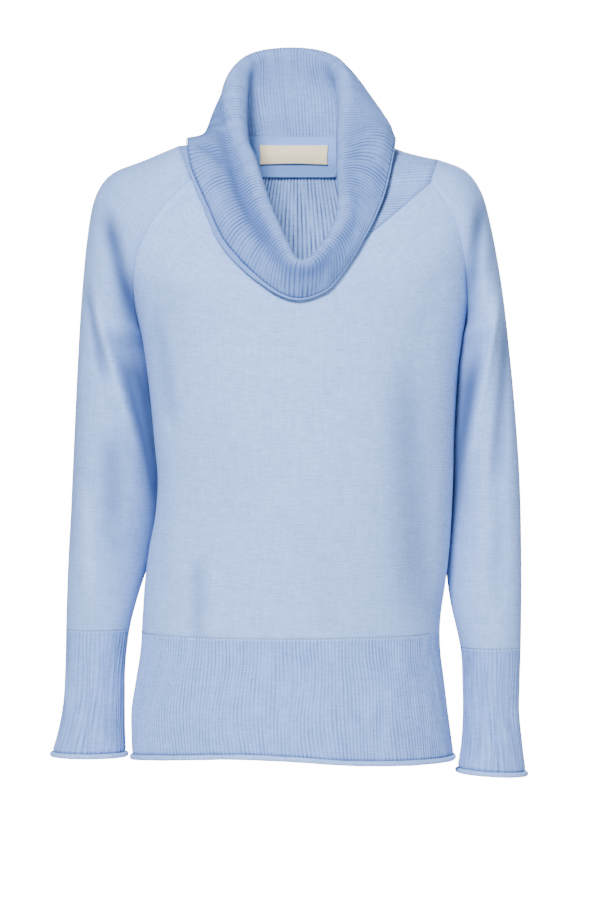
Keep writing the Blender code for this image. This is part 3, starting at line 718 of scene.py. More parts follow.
def sewn(name: str, sheet: Sheet, finish: bpy.types.Material,
         plain: Array | None = None) -> bpy.types.Object:
    """Makes and dresses a piece, hides the solid that it stands for, hangs it from the root and logs the size
    of its cut.

    Args:
        name: The node that it stands for.
        sheet: Its wall.
        finish: Its material.
        plain: The surface without ribs, for the cut's size, where it has any.

    Returns:
        The finished piece.
    """
    piece = wall_object(name, sheet)
    piece.data.materials.append(finish)
    surface = sheet.outer if plain is None else plain
    loop = np.concatenate([surface, surface[:, :1]], axis=1) if sheet.closed else surface
    width = float(lengths_along(loop, 1)[:, -1].max())
    length = float(lengths_along(surface, 0)[-1].max())
    area = min(surface_area(surface, sheet.closed), width * length)
    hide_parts(name)
    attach(piece, "root")
    LOG.info("%s: cut %.0f x %.0f mm, %d faces", name, width / MM, length / MM, len(piece.data.polygons))
    return piece


# Shader maths


class Signal:
    """A number in a shader. Its operators add Math nodes."""

    def __init__(self, shader: "Shader", socket: Any) -> None:
        """Wraps an output socket of a shader's node."""
        self.shader, self.socket = shader, socket

    def maths(self, operation: str, *others: Any) -> "Signal":
        """The result of a Math node on this number and others."""
        values = {index: value for index, value in enumerate((self, *others))}
        return Signal(self.shader, self.shader.node("ShaderNodeMath", {"operation": operation}, values))

    def __add__(self, other: Any) -> "Signal":
        """This plus another."""
        return self.maths("ADD", other)

    __radd__ = __add__

    def __mul__(self, other: Any) -> "Signal":
        """This times another."""
        return self.maths("MULTIPLY", other)

    __rmul__ = __mul__

    def __sub__(self, other: Any) -> "Signal":
        """This less another."""
        return self.maths("SUBTRACT", other)

    def __rsub__(self, other: float) -> "Signal":
        """A plain number less this."""
        return self * -1.0 + other

    def __truediv__(self, other: float) -> "Signal":
        """This divided by a plain number."""
        return self * (1.0 / other)

    def fraction(self) -> "Signal":
        """What is left of this above a whole number."""
        return self.maths("FRACT")

    def size(self) -> "Signal":
        """This without its sign."""
        return self.maths("ABSOLUTE")

    def cosine(self) -> "Signal":
        """The cosine of this, in radians."""
        return self.maths("COSINE")

    def between(self, low: float, high: float) -> "Signal":
        """0 to 1 as this goes from low to high, and no further."""
        scaled = (self - low) / (high - low)
        return scaled.maths("MAXIMUM", 0.0).maths("MINIMUM", 1.0)


class Shader:
    """A material and the nodes in it."""

    def __init__(self, name: str) -> None:
        """Starts a material with a Principled BSDF."""
        self.material = bpy.data.materials.new(name)
        self.material.use_nodes = True
        self.nodes = self.material.node_tree.nodes
        self.links = self.material.node_tree.links
        self.surface = self.nodes["Principled BSDF"]

    def node(self, kind: str, settings: dict[str, Any], inputs: dict[Any, Any], output: Any = 0) -> Any:
        """Adds a node.

        Args:
            kind: The node's type.
            settings: Its settings, such as an operation.
            inputs: Values or links for its sockets, by name or number.
            output: Which of its outputs is wanted.

        Returns:
            The output socket.
        """
        made = self.nodes.new(kind)
        for key, value in settings.items():
            setattr(made, key, value)
        for key, value in inputs.items():
            self.feed(made.inputs[key], value)
        return made.outputs[output]

    def feed(self, socket: Any, value: Any) -> None:
        """Links or sets a socket."""
        value = value.socket if isinstance(value, Signal) else value
        if isinstance(value, bpy.types.NodeSocket):
            self.links.new(value, socket)
        else:
            socket.default_value = value

    def blend(self, factor: Any, first: Any, second: Any) -> Any:
        """A colour between two others."""
        return self.node("ShaderNodeMix", {"data_type": "RGBA"}, {0: factor, 6: first, 7: second}, 2)

    def map_axes(self) -> tuple[Signal, Signal]:
        """The distances across and along the cloth, in metres."""
        uv = self.node("ShaderNodeUVMap", {"uv_map": "Knit"}, {})
        split = self.node("ShaderNodeSeparateXYZ", {}, {0: uv})
        return Signal(self, split), Signal(self, split.node.outputs[1])

    def grain(self, across: Signal, along: Signal, grain: "Grain") -> Signal:
        """A grain's noise over the cloth, from 0 to 1."""
        place = {0: across * grain.across, 1: along * grain.along, 2: grain.place}
        inputs = {"Vector": self.node("ShaderNodeCombineXYZ", {}, place), "Scale": 1.0, "Detail": grain.detail}
        return Signal(self, self.node("ShaderNodeTexNoise", {"noise_dimensions": "3D"}, inputs))

    def attribute(self, name: str) -> Signal:
        """A number kept on the mesh."""
        return Signal(self, self.node("ShaderNodeAttribute", {"attribute_name": name}, {}, "Fac"))

    def bump(self, height: Any, strength: float, distance: float, normal: Any = None) -> Any:
        """A Bump node's normal."""
        inputs = {"Strength": strength, "Distance": distance, "Height": height}
        return self.node("ShaderNodeBump", {}, inputs if normal is None else inputs | {"Normal": normal})

    def finished(self, inputs: dict[str, Any]) -> bpy.types.Material:
        """The material, once its surface has its links and fixed values."""
        for name, value in inputs.items():
            self.feed(self.surface.inputs[name], value)
        return self.material


def tinted(colour: Colour, factor: float) -> tuple[float, float, float, float]:
    """A colour made lighter or darker, with full alpha."""
    return tuple(min(part * factor, 1.0) for part in colour) + (1.0,)


class Grain(NamedTuple):
    """A noise over the cloth: its scale across and along, its place, its range and how much it counts."""

    across: float
    along: float
    place: float
    detail: float
    low: float
    high: float
    share: float


STREAKS = Grain(80, 560, 0, 2, 0.36, 0.64, 0.38)
FLECKS = Grain(210, 560, 3, 3, 0.34, 0.66, 0.25)
PATCHES = Grain(28, 90, 7, 2, 0.34, 0.66, 0.15)
WALES = Grain(420, 24, 5, 2, 0.34, 0.66, 0.22)
UNEVEN_RIBS = Grain(90, 22, 11, 2, 0.3, 0.7, 1)
FUZZ = Grain(2600, 2600, 0, 2, 0, 1, 1)
SLUBS = Grain(300, 2200, 0, 2, 0, 1, 1)


@dataclass(frozen=True)
class Knit:
    """A knitted cloth: V-shaped stitches in wales and courses, heathered yarn and a soft nap.

    A stitch's height is |sin| of its course, slanted by its distance from the wale's middle, times
    1 - distance^2, so that two legs lean together as in real knitting. Painted shade blends the colour
    towards `deep`: the mesh's shade attribute, the stitches' hollows, and the ribs' valleys as
    (0.5 - 0.5 cos)^2, more in some places than in others.
    """

    name: str
    light: Colour
    deep: Colour
    wale: float = 1.55 * MM
    course: float = 1.15 * MM
    stitch: float = 0.30 * MM
    relief: float = 0.45
    heather: float = 0.23
    rib: float = 0.0
    rib_shade: float = 0.0
    linked: bool = False
    link: tuple[float, float] = (2.6 * MM, 1.4 * MM)
    slant: float = 0.55
    hollow: float = 0.07
    sheen: float = 0.10

    def build(self) -> bpy.types.Material:
        """Makes the material."""
        shader = Shader(self.name)
        across, along = shader.map_axes()
        side = ((across / self.wale).fraction() - 0.5).size() * 2.0
        leg = ((along / self.course + side * self.slant).fraction() - 0.5).size() * 2.0
        stitch = (1.0 - leg * leg) * (1.0 - side * side * 0.8)
        noise = {g: shader.grain(across, along, g) for g in (STREAKS, FLECKS, PATCHES, WALES, FUZZ)}
        mix = noise[STREAKS].between(STREAKS.low, STREAKS.high) * STREAKS.share
        for g in (FLECKS, PATCHES, WALES):
            mix = mix + noise[g].between(g.low, g.high) * g.share
        pale = shader.blend(mix, tinted(self.light, 1 - self.heather), tinted(self.light, 1 + self.heather))
        # Painted shade: the mesh's shade attribute and the stitches' hollows.
        depth = shader.attribute("shade") + (1.0 - stitch) * self.hollow
        if self.rib:
            # Painted shade along the ribs' valleys, stronger in some places than in others.
            valley = (across * (2 * math.pi / self.rib)).cosine() * -0.5 + 0.5
            uneven = shader.grain(across, along, UNEVEN_RIBS).between(UNEVEN_RIBS.low, UNEVEN_RIBS.high)
            depth = depth + valley * valley * (uneven * self.rib_shade * 1.5 + self.rib_shade * 0.25)
            if self.linked:
                stitches = along.between(*self.link) * (1.0 - valley) * 0.8
                pale = shader.blend(stitches, pale, tinted(self.light, 1.6))
        rough = shader.bump(noise[FUZZ] * 0.4 + noise[FLECKS] * 0.6, 0.35, 0.25 * MM)
        return shader.finished({
            "Base Color": shader.blend(depth.between(0.0, 1.0), pale, self.deep + (1.0,)),
            "Normal": shader.bump(stitch, self.relief, self.stitch, rough),
            "Roughness": 0.9,
            "Specular IOR Level": 0.2,
            "Sheen Weight": self.sheen,
            "Sheen Roughness": 0.5,
            "Sheen Tint": tinted(self.light, 1.15),
        })


@dataclass(frozen=True)
class Woven:
    """A label's smooth cotton: fine crossing threads, with a faint slub."""

    name: str = "label_cotton"
    light: Colour = (1.0, 0.77, 0.43)
    deep: Colour = (0.52, 0.46, 0.34)
    thread: float = 0.42 * MM

    def build(self) -> bpy.types.Material:
        """Makes the material."""
        shader = Shader(self.name)
        across, along = shader.map_axes()
        warp = (across * (2 * math.pi / self.thread)).cosine()
        weft = (along * (2 * math.pi / self.thread)).cosine()
        weave = warp * weft * 0.5 + 0.5
        slub = shader.grain(across, along, SLUBS)
        pale = shader.blend(slub, tinted(self.light, 0.94), tinted(self.light, 1.04))
        # Painted shade: the mesh's shade attribute along the turned edge, and a little in the weave's hollows,
        # blended towards `deep`.
        depth = shader.attribute("shade") * 0.6 + (1.0 - weave) * 0.10
        return shader.finished({
            "Base Color": shader.blend(depth.between(0.0, 1.0), pale, self.deep + (1.0,)),
            "Normal": shader.bump(weave, 0.5, 0.12 * MM),
            "Roughness": 0.75,
            "Sheen Weight": 0.1,
        })


BLUE = (0.32, 0.46, 0.78)
# RIB_BLUE and COLLAR_BLUE are the jersey's blue made a little darker: painted shade for the shade in the ribs'
# grooves.
RIB_BLUE = (0.27, 0.40, 0.74)
COLLAR_BLUE = (0.29, 0.42, 0.74)
# The collar's shadow blue, which its painted shade blends towards.
COLLAR_SHADOW_BLUE = (0.06, 0.11, 0.28)
# The collar's rolled edge, darker than the collar: painted shade, for the shade that the strip lies in.
EDGE_SHADED_BLUE = (0.17, 0.265, 0.53)
# The shadow blue, which painted shade on the other knits blends towards.
SHADOW_BLUE = (0.07, 0.115, 0.265)


# Pieces


@dataclass
class Body:
    """The two panels and two sleeves, cut from one surface."""

    form: Form
    finish: bpy.types.Material
    wall: float = 1.7 * MM
    seam_wall: float = 0.6 * MM
    seam_dip: float = 0.05 * MM
    seam_width: float = 1.3 * MM
    seam_lap: float = 0.2 * MM
    seam_shade: float = 0.02
    # crease_shade, side_shade and sleeve_shade are painted shade: in the folds' troughs, down the body's sides
    # and on the sleeves' inner sides.
    crease_shade: float = 0.46
    side_shade: float = 0.12
    sleeve_shade: float = 0.55
    panel_columns: int = 110
    sleeve_columns: int = 84
    soft_share: float = 0.45
    soft_edge: float = 0.15
    soft_passes: int = 120
    shade_reach: float = 24.0
    painted_shadow_by_arm: tuple[tuple[str, float], ...] = (("left", 0.5), ("right", 0.9))
    yoke_steps: int = 54
    torso_steps: int = 96
    arm_steps: int = 120
    inside_ribs: int = 75
    inside_painted_light_colour: Colour = (0.34, 0.49, 0.86)
    inside_relief: float = 1.2 * MM

    def groove(self, grid: Array, closed_below: int) -> tuple[Array, Array]:
        """How near each point is to a seam, as exp(-(distance / width)^2).

        Args:
            grid: The piece's points.
            closed_below: The row from which the side edges meet each other as a fine side seam.

        Returns:
            Nearness to any seam, and to an edge of the piece, for the wall.
        """
        side = lengths_along(grid, 1)
        edge = np.minimum(side, side[:, -1:] - side)
        ends = lengths_along(grid, 0)
        rim = np.minimum(ends, ends[-1:] - ends)
        near = np.exp(-((edge / self.seam_width) ** 2))
        near[closed_below:] *= 0.3
        near = np.maximum(near, np.exp(-((ends / self.seam_width) ** 2)))
        return near, np.maximum(np.exp(-((edge / (4 * MM)) ** 2)), np.exp(-((rim / (3 * MM)) ** 2)))

    def sheet_of(self, grid: Array, middle: Array, closed_below: int, shadow: Array, ribs: int = 0,
                 arm: bool = False) -> Sheet:
        """A panel's wall from its outer points, dipped at the seams and ribbed inside where asked.

        Args:
            grid: The outer points.
            middle: A point inside the garment for each of them.
            closed_below: The row from which the side edges meet as a fine side seam.
            shadow: The painted shadow where the piece lies close against its neighbour.
            ribs: Wide ribs on the inner face.
            arm: Whether it is a sleeve, which has its own folds.

        Returns:
            The wall.
        """
        normals = normals_of(grid, grid - middle)
        near, edge = self.groove(grid, closed_below)
        folds, shades = (ARM_FOLDS, ARM_PAINTED_SHADES) if arm else (BODY_FOLDS, BODY_PAINTED_SHADES)
        # Painted shade in the folds' troughs, less of it on their ridges, then the painted shade tables.
        crease = np.clip(self.form.pressed(grid / MM, folds) / 10, -0.6, 1.2) * self.crease_shade
        crease = crease + self.form.pressed(grid / MM, shades, self.shade_reach)
        seams_and_painted_shade = np.clip(near * self.seam_shade + crease + shadow, 0, 1)
        outer = grid - normals * (self.seam_dip * near)[..., None]
        if not arm:
            outer[:, 0] -= unit(grid[:, 1] - grid[:, 0]) * self.seam_lap
            outer[:, -1] -= unit(grid[:, -2] - grid[:, -1]) * self.seam_lap
        thick = self.wall + (self.seam_wall - self.wall) * edge
        u = lengths_along(grid, 1).mean(axis=0)
        if ribs:
            wave = (0.5 + 0.5 * np.cos(2 * math.pi * ribs * u / u[-1])) ** 0.7
            thick = thick + self.inside_relief * wave[None, :] * (1 - edge)
        inner = outer - normals * thick[..., None]
        v = lengths_along(grid, 0).mean(axis=1)
        return Sheet(outer, inner, False, u, v, seams_and_painted_shade)

    def build_panel(self, face: str) -> None:
        """The front or back panel."""
        front = face == "front"
        even = np.linspace(0, 1, self.inside_ribs * 4 + 1)
        shares = graded(self.panel_columns, *EDGE_STEPS) if front else even
        steps = self.yoke_steps
        grid = self.form.panel(face, shares, steps, self.torso_steps if front else self.torso_steps * 2 // 3)
        soft = np.exp(-(((np.arange(len(grid)) - steps) / (steps * self.soft_share)) ** 2))[:, None, None]
        inside = ease((1 - np.abs(shares * 2 - 1)) / self.soft_edge)[None, :, None]
        grid = grid + (relaxed(grid, self.soft_passes) - grid) * soft * inside
        grid = relaxed(grid, 3)
        level = np.zeros(grid.shape[:2])
        middle = np.stack([level + 0.008, level, grid[..., 2] - 0.01], axis=-1)
        height = grid[..., 2] / MM
        # Painted shadow down the body's sides below the armpits, where the sleeves lie close.
        side = ease((np.abs(shares * 2 - 1)[None, :] - 0.86) / 0.14)
        shadow = self.side_shade * side * ease((-130 - height) / 60) * ease((height + 470) / 60)
        sheet = self.sheet_of(grid, middle, steps, shadow, 0 if front else self.inside_ribs)
        piece = sewn(face + "_panel", sheet, self.finish)
        if not front:
            self.line(piece, sheet)

    def build_sleeve(self, arm: str) -> None:
        """A sleeve, from the neck to the top of its cuff."""
        share = (graded(self.sleeve_columns, *EDGE_STEPS) * 2 - 1)[None, :]
        upper = np.linspace(0, ARMPIT_ROW, self.yoke_steps + 1)
        lower = np.linspace(ARMPIT_ROW, CUFF_ROW, self.arm_steps + 1)[1:]
        grid = relaxed(self.form.sleeve(arm, np.concatenate([upper, lower])[:, None], share), 3) * MM
        middle = grid.mean(axis=1, keepdims=True) - [0, 0, 0.02]
        height = grid[..., 2] / MM
        # Painted shadow on the sleeve's inner side, where it lies close against the body, stronger on the right
        # arm.
        close = ease((np.abs(share) - 0.5) / 0.42)
        shadow = self.sleeve_shade * dict(self.painted_shadow_by_arm)[arm] * close
        shadow = shadow * ease((-120 - height) / 130) * ease((height + 520) / 130)
        sheet = self.sheet_of(grid, middle, self.yoke_steps, shadow, arm=True)
        sewn("sleeve_" + arm, sheet, self.finish)

    def line(self, panel: bpy.types.Object, sheet: Sheet) -> None:
        """Gives the inner side of a panel's wall its wide ribs' own knit, in a lighter blue that is painted
        light.
        """
        pitch = float(sheet.u[-1]) / self.inside_ribs
        # The inside's blue is the jersey's made lighter: painted light on the inner back, seen through the
        # neck. Its ribs get painted shade in their valleys.
        knit = Knit("back_inside_knit", self.inside_painted_light_colour, SHADOW_BLUE, wale=pitch / 2, rib=pitch, rib_shade=0.7)
        panel.data.materials.append(knit.build())
        rows, columns = sheet.outer.shape[:2]
        cells = (rows - 1) * (columns - 1)
        index = np.zeros(len(panel.data.polygons), np.int32)
        index[cells : 2 * cells] = 1
        panel.data.polygons.foreach_set("material_index", index)


@dataclass
class RibBand:
    """A ribbed tube, such as the hem band or a cuff, and the rolled edge below it."""

    name: str
    roll_name: str
    points_at: Callable[[Array, Array], Array]
    ribs: int
    rows: int
    columns_per_rib: int
    roll_finish: bpy.types.Material
    rib_shade: float = 0.42
    wall: float = 1.4 * MM
    relief: float = 0.9 * MM
    wander: float = 0.6
    tuck: float = 2.2 * MM

    def build(self) -> None:
        """Makes the band and its rolled edge."""
        count = self.ribs * self.columns_per_rib
        share = np.concatenate([TOP_STEPS, np.linspace(0.03, 0.97, self.rows), END_STEPS])[:, None]
        middle_ring = lambda t: self.points_at(np.array([[0.5]]), t[None, :])[0]
        turns = even_turns(middle_ring, count)
        angle = turns[None, :] * 2 * math.pi
        drift = np.sin(angle * 7 + 1) * np.sin(share * 5 + angle * 5)
        plain = self.points_at(share, turns[None, :] + drift * ease(share / 0.3) * self.wander / self.ribs)
        centre = plain.mean(axis=1, keepdims=True)
        normals = normals_of(plain, plain - centre, closed=True)
        wave = (0.5 - 0.5 * np.cos(2 * math.pi * np.arange(count) / self.columns_per_rib)) ** 1.5
        run = lengths_along(plain, 0).mean(axis=1)
        near = np.exp(-(((run[-1] - run) / (1.5 * MM)) ** 2))
        sway = 1 + 0.25 * np.sin(turns * 2 * math.pi * 9 + 2)[None, :] * np.sin(run / 0.021)[:, None]
        begins = ease(run / (3 * MM))[:, None]
        near = near[:, None]
        drop = self.relief * wave[None, :] * sway * begins * (1 - 0.5 * near) + near * 0.8 * MM
        outer = plain - normals * drop[..., None]
        outer[-1, :, 2] -= self.tuck
        inner = plain - normals * (self.wall + self.relief)
        inner[-1, :, 2] -= self.tuck
        length = lengths_along(np.concatenate([plain, plain[:, :1]], axis=1), 1)[:, -1].mean()
        u = np.arange(count + 1) / count * length
        # The band's shade is painted shade along the groove above its rolled edge.
        sheet = Sheet(outer, inner, True, u, run, np.repeat(near * 0.6, count, axis=1))
        finish = Knit(self.name + "_knit", RIB_BLUE, SHADOW_BLUE, wale=self.pitch / 2, rib=self.pitch,
                      rib_shade=self.rib_shade, linked=True).build()
        sewn(self.name, sheet, finish, plain)
        ring = plain[-1][:: self.columns_per_rib]
        out = unit(normals[-1] * [1, 1, 0])[:: self.columns_per_rib]
        RolledEdge(self.roll_name, self.roll_finish).build(ring, np.tile([0.0, 0.0, -1.0], (len(ring), 1)), out)

    @property
    def pitch(self) -> float:
        """How wide one rib is at the middle of the band."""
        ring = self.points_at(np.array([[0.5]]), np.linspace(0, 1, 400)[None, :])[0]
        return float(lengths_along(ring, 0)[-1]) / self.ribs


@dataclass
class RolledEdge:
    """The plain strip at a band's end, which curls to the outside: a wall whose section is most of a circle."""

    name: str
    finish: bpy.types.Material
    height: float = 3.0 * MM
    depth: float = 3.0 * MM
    gap: float = 0.3 * MM
    wall: float = 1.2 * MM
    start: float = 150.0
    sweep: float = 330.0
    sides: int = 22

    def build(self, ring: Array, down: Array, out: Array, share: Array | float = 1.0) -> None:
        """Makes the strip.

        Args:
            ring: The line on which the band ends.
            down: The way the band points there.
            out: The way its seen side faces.
            share: How much of its full height shows, for every point of the ring.
        """
        count = len(ring)
        height = np.broadcast_to(self.height * share, (count,))
        centre = ring + down * (height + self.gap)[:, None]
        angle = np.radians(self.start + self.sweep * np.linspace(0, 1, self.sides))[:, None]
        wander = np.arange(count) / count * 2 * math.pi
        swell = 1 + 0.045 * np.sin(wander * 11 + 1) * np.sin(wander * 5) + 0.03 * np.sin(wander * 29)
        tight = swell[None, :] * np.linspace(1.0, 0.86, self.sides)[:, None]
        across = np.minimum(self.depth, height * 1.1)[None, :]

        def section(inset: Array | float) -> Array:
            """The oval, drawn in by a distance: out x depth x sin + down x height x cos."""
            outwards = -np.sin(angle) * (across * tight - inset)
            downwards = np.cos(angle) * (height[None, :] * tight - inset)
            return centre[None] + out[None] * outwards[..., None] + down[None] * downwards[..., None]

        outer, inner = section(0.0), section(np.minimum(self.wall, across[0] * 0.7)[None, :])
        u = lengths_along(np.concatenate([ring, ring[:1]]), 0)
        v = np.radians(self.sweep) * self.height * np.linspace(0, 1, self.sides)
        # Painted shade where the strip's section begins, tucked against the band.
        hidden_painted_shade = np.exp(-((np.linspace(0, 1, self.sides) / 0.1) ** 2)) * 0.6
        sheet = Sheet(outer, inner, True, u, v, np.repeat(hidden_painted_shade[:, None], count, axis=1))
        sewn(self.name, sheet, self.finish, (outer + inner) / 2)


@dataclass
class Collar:
    """The doubled cowl: a stand from the neck seam, a soft rolled rim, and a fall with a rolled edge."""

    form: Form
    ribs: int = 200
    columns_per_rib: int = 4
    wall: float = 1.6 * MM
    relief: float = 0.5 * MM
    seam_lap: float = 0.15 * MM
    seam_shift: float = 0.024
    stand_swell: float = 4.0 * MM
    recess: float = 8.0 * MM
    tilt: float = 28.0
    roll_steps: int = 6
    breadth: float = 62.0
    stand_rows: int = 4
    roll_rows: int = 3
    fall_rows: int = 8
    # The shade fields are painted shade: along the rib valleys, over the rim, on the fall, under the rim, on
    # the hidden stand, and in the fall's creases, less on their ridges.
    rib_shade: float = 0.34
    rim_shade: float = 0.22
    fall_shade: float = 0.25
    under_shade: float = 0.30
    stand_shade: float = 0.14
    crease_shade: float = 0.2

    def control_rings(self, turns: Array) -> tuple[Array, Array, list[int]]:
        """Rings that the collar's cavity side passes through.

        The stand runs straight from the seam with a slight swell, the rim is half a circle, and the fall
        is drawn out by its two swells on the way to its edge.

        Returns:
            The rings, the way the fall faces, and how many rows lie between each ring and the next.
        """
        angle = turns * 2 * math.pi
        base, beyond, _ = self.form.neck_edge(turns - self.seam_shift * np.sin(2 * angle))
        rim, edge = collar_line("rim", turns), collar_line("edge", turns)
        roll = around(COLLAR, "roll", turns)[:, None] * MM
        ahead = directions_of(rim, 0, closed=True)
        outward = np.stack([np.sin(angle), -np.cos(angle), np.zeros_like(angle)], axis=-1)
        outward = unit(outward - ahead * (ahead * outward).sum(axis=1, keepdims=True))
        up = np.cross(outward, ahead)
        lift = (0.55 + 0.45 * np.abs(np.cos(angle)))[:, None]
        open_way = unit(outward * lift + up * (1 - 0.75 * np.maximum(np.cos(angle), 0))[:, None])
        tilt = math.radians(self.tilt) * np.sin(angle)[:, None] ** 2
        outward, up = outward * np.cos(tilt) + up * np.sin(tilt), up * np.cos(tilt) - outward * np.sin(tilt)
        stand_top = rim - outward * roll
        rings = [base - beyond * self.seam_lap]
        for share in (1 / 3, 2 / 3):
            swell = up * self.stand_swell * math.sin(math.pi * share**0.6)
            behind = outward * (self.recess * (share * 1.8 - 0.5) / 0.7 * ease(-np.cos(angle) * 1.3))[:, None]
            rings.append(base + (stand_top - base) * share + swell + behind)
        broad = (ease((turns * 360 - 45) / 30) * ease((165 - turns * 360) / 30))[:, None]
        for k in range(self.roll_steps + 1):
            t = math.pi * (1 - k / self.roll_steps) + math.radians(self.breadth) * broad * k / self.roll_steps
            rings.append(rim + roll * (outward * np.cos(t) + up * np.sin(t)))
        outset = rings[-1]
        for share, name in ((1 / 3, "swell"), (2 / 3, "sweep")):
            swung = open_way * around(COLLAR, name, turns)[:, None] * MM
            rings.append(outset + (edge - outset) * share + swung)
        rings.append(edge)
        counts = [self.stand_rows] * 3 + [self.roll_rows] * self.roll_steps + [self.fall_rows] * 3
        return np.stack(rings), open_way, counts

    def through(self, rings: Array, counts: list[int]) -> Array:
        """Rows on cubic curves through the rings, each column's slopes weighted by its own distances."""
        steps = np.diff(rings, axis=0)
        gap = np.maximum(np.linalg.norm(steps, axis=-1, keepdims=True), 1e-6)
        slope = steps / gap
        inner = (slope[:-1] * gap[1:] + slope[1:] * gap[:-1]) / (gap[1:] + gap[:-1])
        slopes = np.concatenate([slope[:1], inner, slope[-1:]])
        rows = []
        for k, count in enumerate(counts):
            f = (np.arange(count) / count)[:, None, None]
            near = (1 + 2 * f) * (1 - f) ** 2 * rings[k] + f * (1 - f) ** 2 * gap[k] * slopes[k]
            far = f * f * (3 - 2 * f) * rings[k + 1] + f * f * (f - 1) * gap[k] * slopes[k + 1]
            rows.append(near + far)
        return np.concatenate(rows + [rings[-1:]])

    def build(self) -> None:
        """Makes the collar and its rolled edge."""
        count = self.ribs * self.columns_per_rib
        turns = even_turns(lambda t: collar_line("rim", t), count)
        rings, open_way, counts = self.control_rings(turns)
        core = self.through(rings, counts)
        core = relaxed(core, 2)
        normals = normals_of(core, np.zeros_like(core) + open_way[None], closed=True)
        if (normals[-4] * open_way).sum() < 0:
            normals = -normals
        dented = self.dents(core, sum(counts[:9]))
        core = core - normals * dented[..., None]
        wave = (0.5 - 0.5 * np.cos(2 * math.pi * np.arange(count) / self.columns_per_rib)) ** 1.5
        run = lengths_along(core, 0)
        end = np.exp(-(((run[-1:] - run) / (1.8 * MM)) ** 2))
        start = np.exp(-((run / (2.0 * MM)) ** 2))
        sway = 1 + 0.15 * np.sin(turns * 2 * math.pi * 13)[None, :] * np.sin(run / 0.017)
        edge_mark = np.interp(turns * 360, GROOVE_TURNS, GROOVE_MARKS)[None, :]
        end = end * edge_mark
        start = start * 0.3
        relief = self.relief * (1 - wave[None, :]) * sway * (1 - 0.5 * end)
        seen = core + normals * (self.wall + relief - 0.9 * MM * np.maximum(end, start))[..., None]
        length = lengths_along(np.concatenate([rings[5], rings[5][:1]]), 0)[-1]
        u = np.arange(count + 1) / count * length
        # Painted shade: the collar's own, more in its creases and less on their ridges, and along the groove
        # above the rolled edge, with a faint dark line at the neck seam.
        painted_shade = self.painted_shades(turns, counts) + np.clip(dented / (4 * MM), -0.3, 1) * self.crease_shade
        sheet = Sheet(seen, core, True, u, run.mean(axis=1), np.clip(np.maximum(end, start) * 0.6 + painted_shade, 0, 1))
        finish = Knit("collar_knit", COLLAR_BLUE, COLLAR_SHADOW_BLUE, wale=self.pitch / 2, rib=self.pitch,
                      rib_shade=self.rib_shade)
        sewn("collar", sheet, finish.build(), core)
        along = directions_of(core[-1], 0, closed=True)
        down = core[-1] - core[-3]
        down = unit(down - along * (along * down).sum(axis=1, keepdims=True))
        out = unit(normals[-1] - along * (along * normals[-1]).sum(axis=1, keepdims=True))
        out = unit(out - down * (down * out).sum(axis=1, keepdims=True))
        ring = core[-1] + normals[-1] * 0.8 * MM
        # The rolled edge's darker blue is painted shade.
        roll_finish = Knit("collar_edge_jersey", EDGE_SHADED_BLUE, SHADOW_BLUE).build()
        edge = RolledEdge("collar_roll", roll_finish, height=3.4 * MM, depth=1.5 * MM, gap=0.2 * MM)
        every = slice(None, None, self.columns_per_rib)
        share = np.interp(turns * 360, GROOVE_TURNS, STRIP_SHARES)
        edge.build(ring[every], down[every], out[every], share[every])

    def painted_shades(self, turns: Array, counts: list[int]) -> Array:
        """The painted shade of every point: the rim's over the whole collar, less where the stand lies bare,
        the fall's as it turns down, the painted shadow under the rim, and the stand's where the rim hides it.

        Args:
            turns: The columns' turns.
            counts: How many rows lie between each ring and the next.
        """
        first, stand = sum(counts[:9]), sum(counts[:2])
        row, turn = np.arange(sum(counts) + 1)[:, None], turns * 360
        under = np.exp(-(((row - first - 5) / 7.0) ** 2)) * np.interp(turn, UNDER_RIM_SHADE_TURNS, UNDER_RIM_SHADE_MARKS)[None, :]
        bare = ease((turn - 50) / 15) * ease((150 - turn) / 20) * ease((stand + 2 - row) / 5)
        painted_shade = self.rim_shade * (1 - 0.4 * bare) + self.fall_shade * ease((row - first + 8) / 10)
        hidden_painted_shade = ease((row - stand) / 4) * ease((first - 8 - row) / 4)
        return painted_shade + self.under_shade * under + self.stand_shade * hidden_painted_shade

    def dents(self, core: Array, first_row: int) -> Array:
        """How far each point of the fall is pressed in along its soft creases.

        Each crease follows a broken line in the front view: depth x exp(-(distance / width)^2), fading in
        over the rows below the rim and at both ends of the line.

        Args:
            core: The collar's rows.
            first_row: The row at which the fall begins.

        Returns:
            Distances in metres.
        """
        rows = np.arange(len(core)) - first_row
        fading = ease((rows + 8) / 14)[:, None] * ease(-core[..., 1] / (30 * MM) + 0.6)
        pressed = np.zeros(core.shape[:2])
        for crease in CREASES:
            line = np.array(crease.points, float) * MM
            best = np.full(core.shape[:2], 1e9)
            along = np.zeros(core.shape[:2])
            for k in range(len(line) - 1):
                step = line[k + 1] - line[k]
                to = core[..., [0, 2]] - line[k]
                share = np.clip((to * step).sum(axis=-1) / (step @ step), 0, 1)
                distance = np.linalg.norm(to - share[..., None] * step, axis=-1)
                nearer = distance < best
                best = np.where(nearer, distance, best)
                along = np.where(nearer, (k + share) / (len(line) - 1), along)
            ends = ease(along / 0.25) * ease((1 - along) / 0.25)
            pressed += crease.depth * MM * np.exp(-((best / (crease.width * MM)) ** 2)) * ends
        return pressed * fading

    @property
    def pitch(self) -> float:
        """How wide one rib is on the rim."""
        return float(lengths_along(collar_line("rim", np.linspace(0, 1, 721)), 0)[-1]) / self.ribs


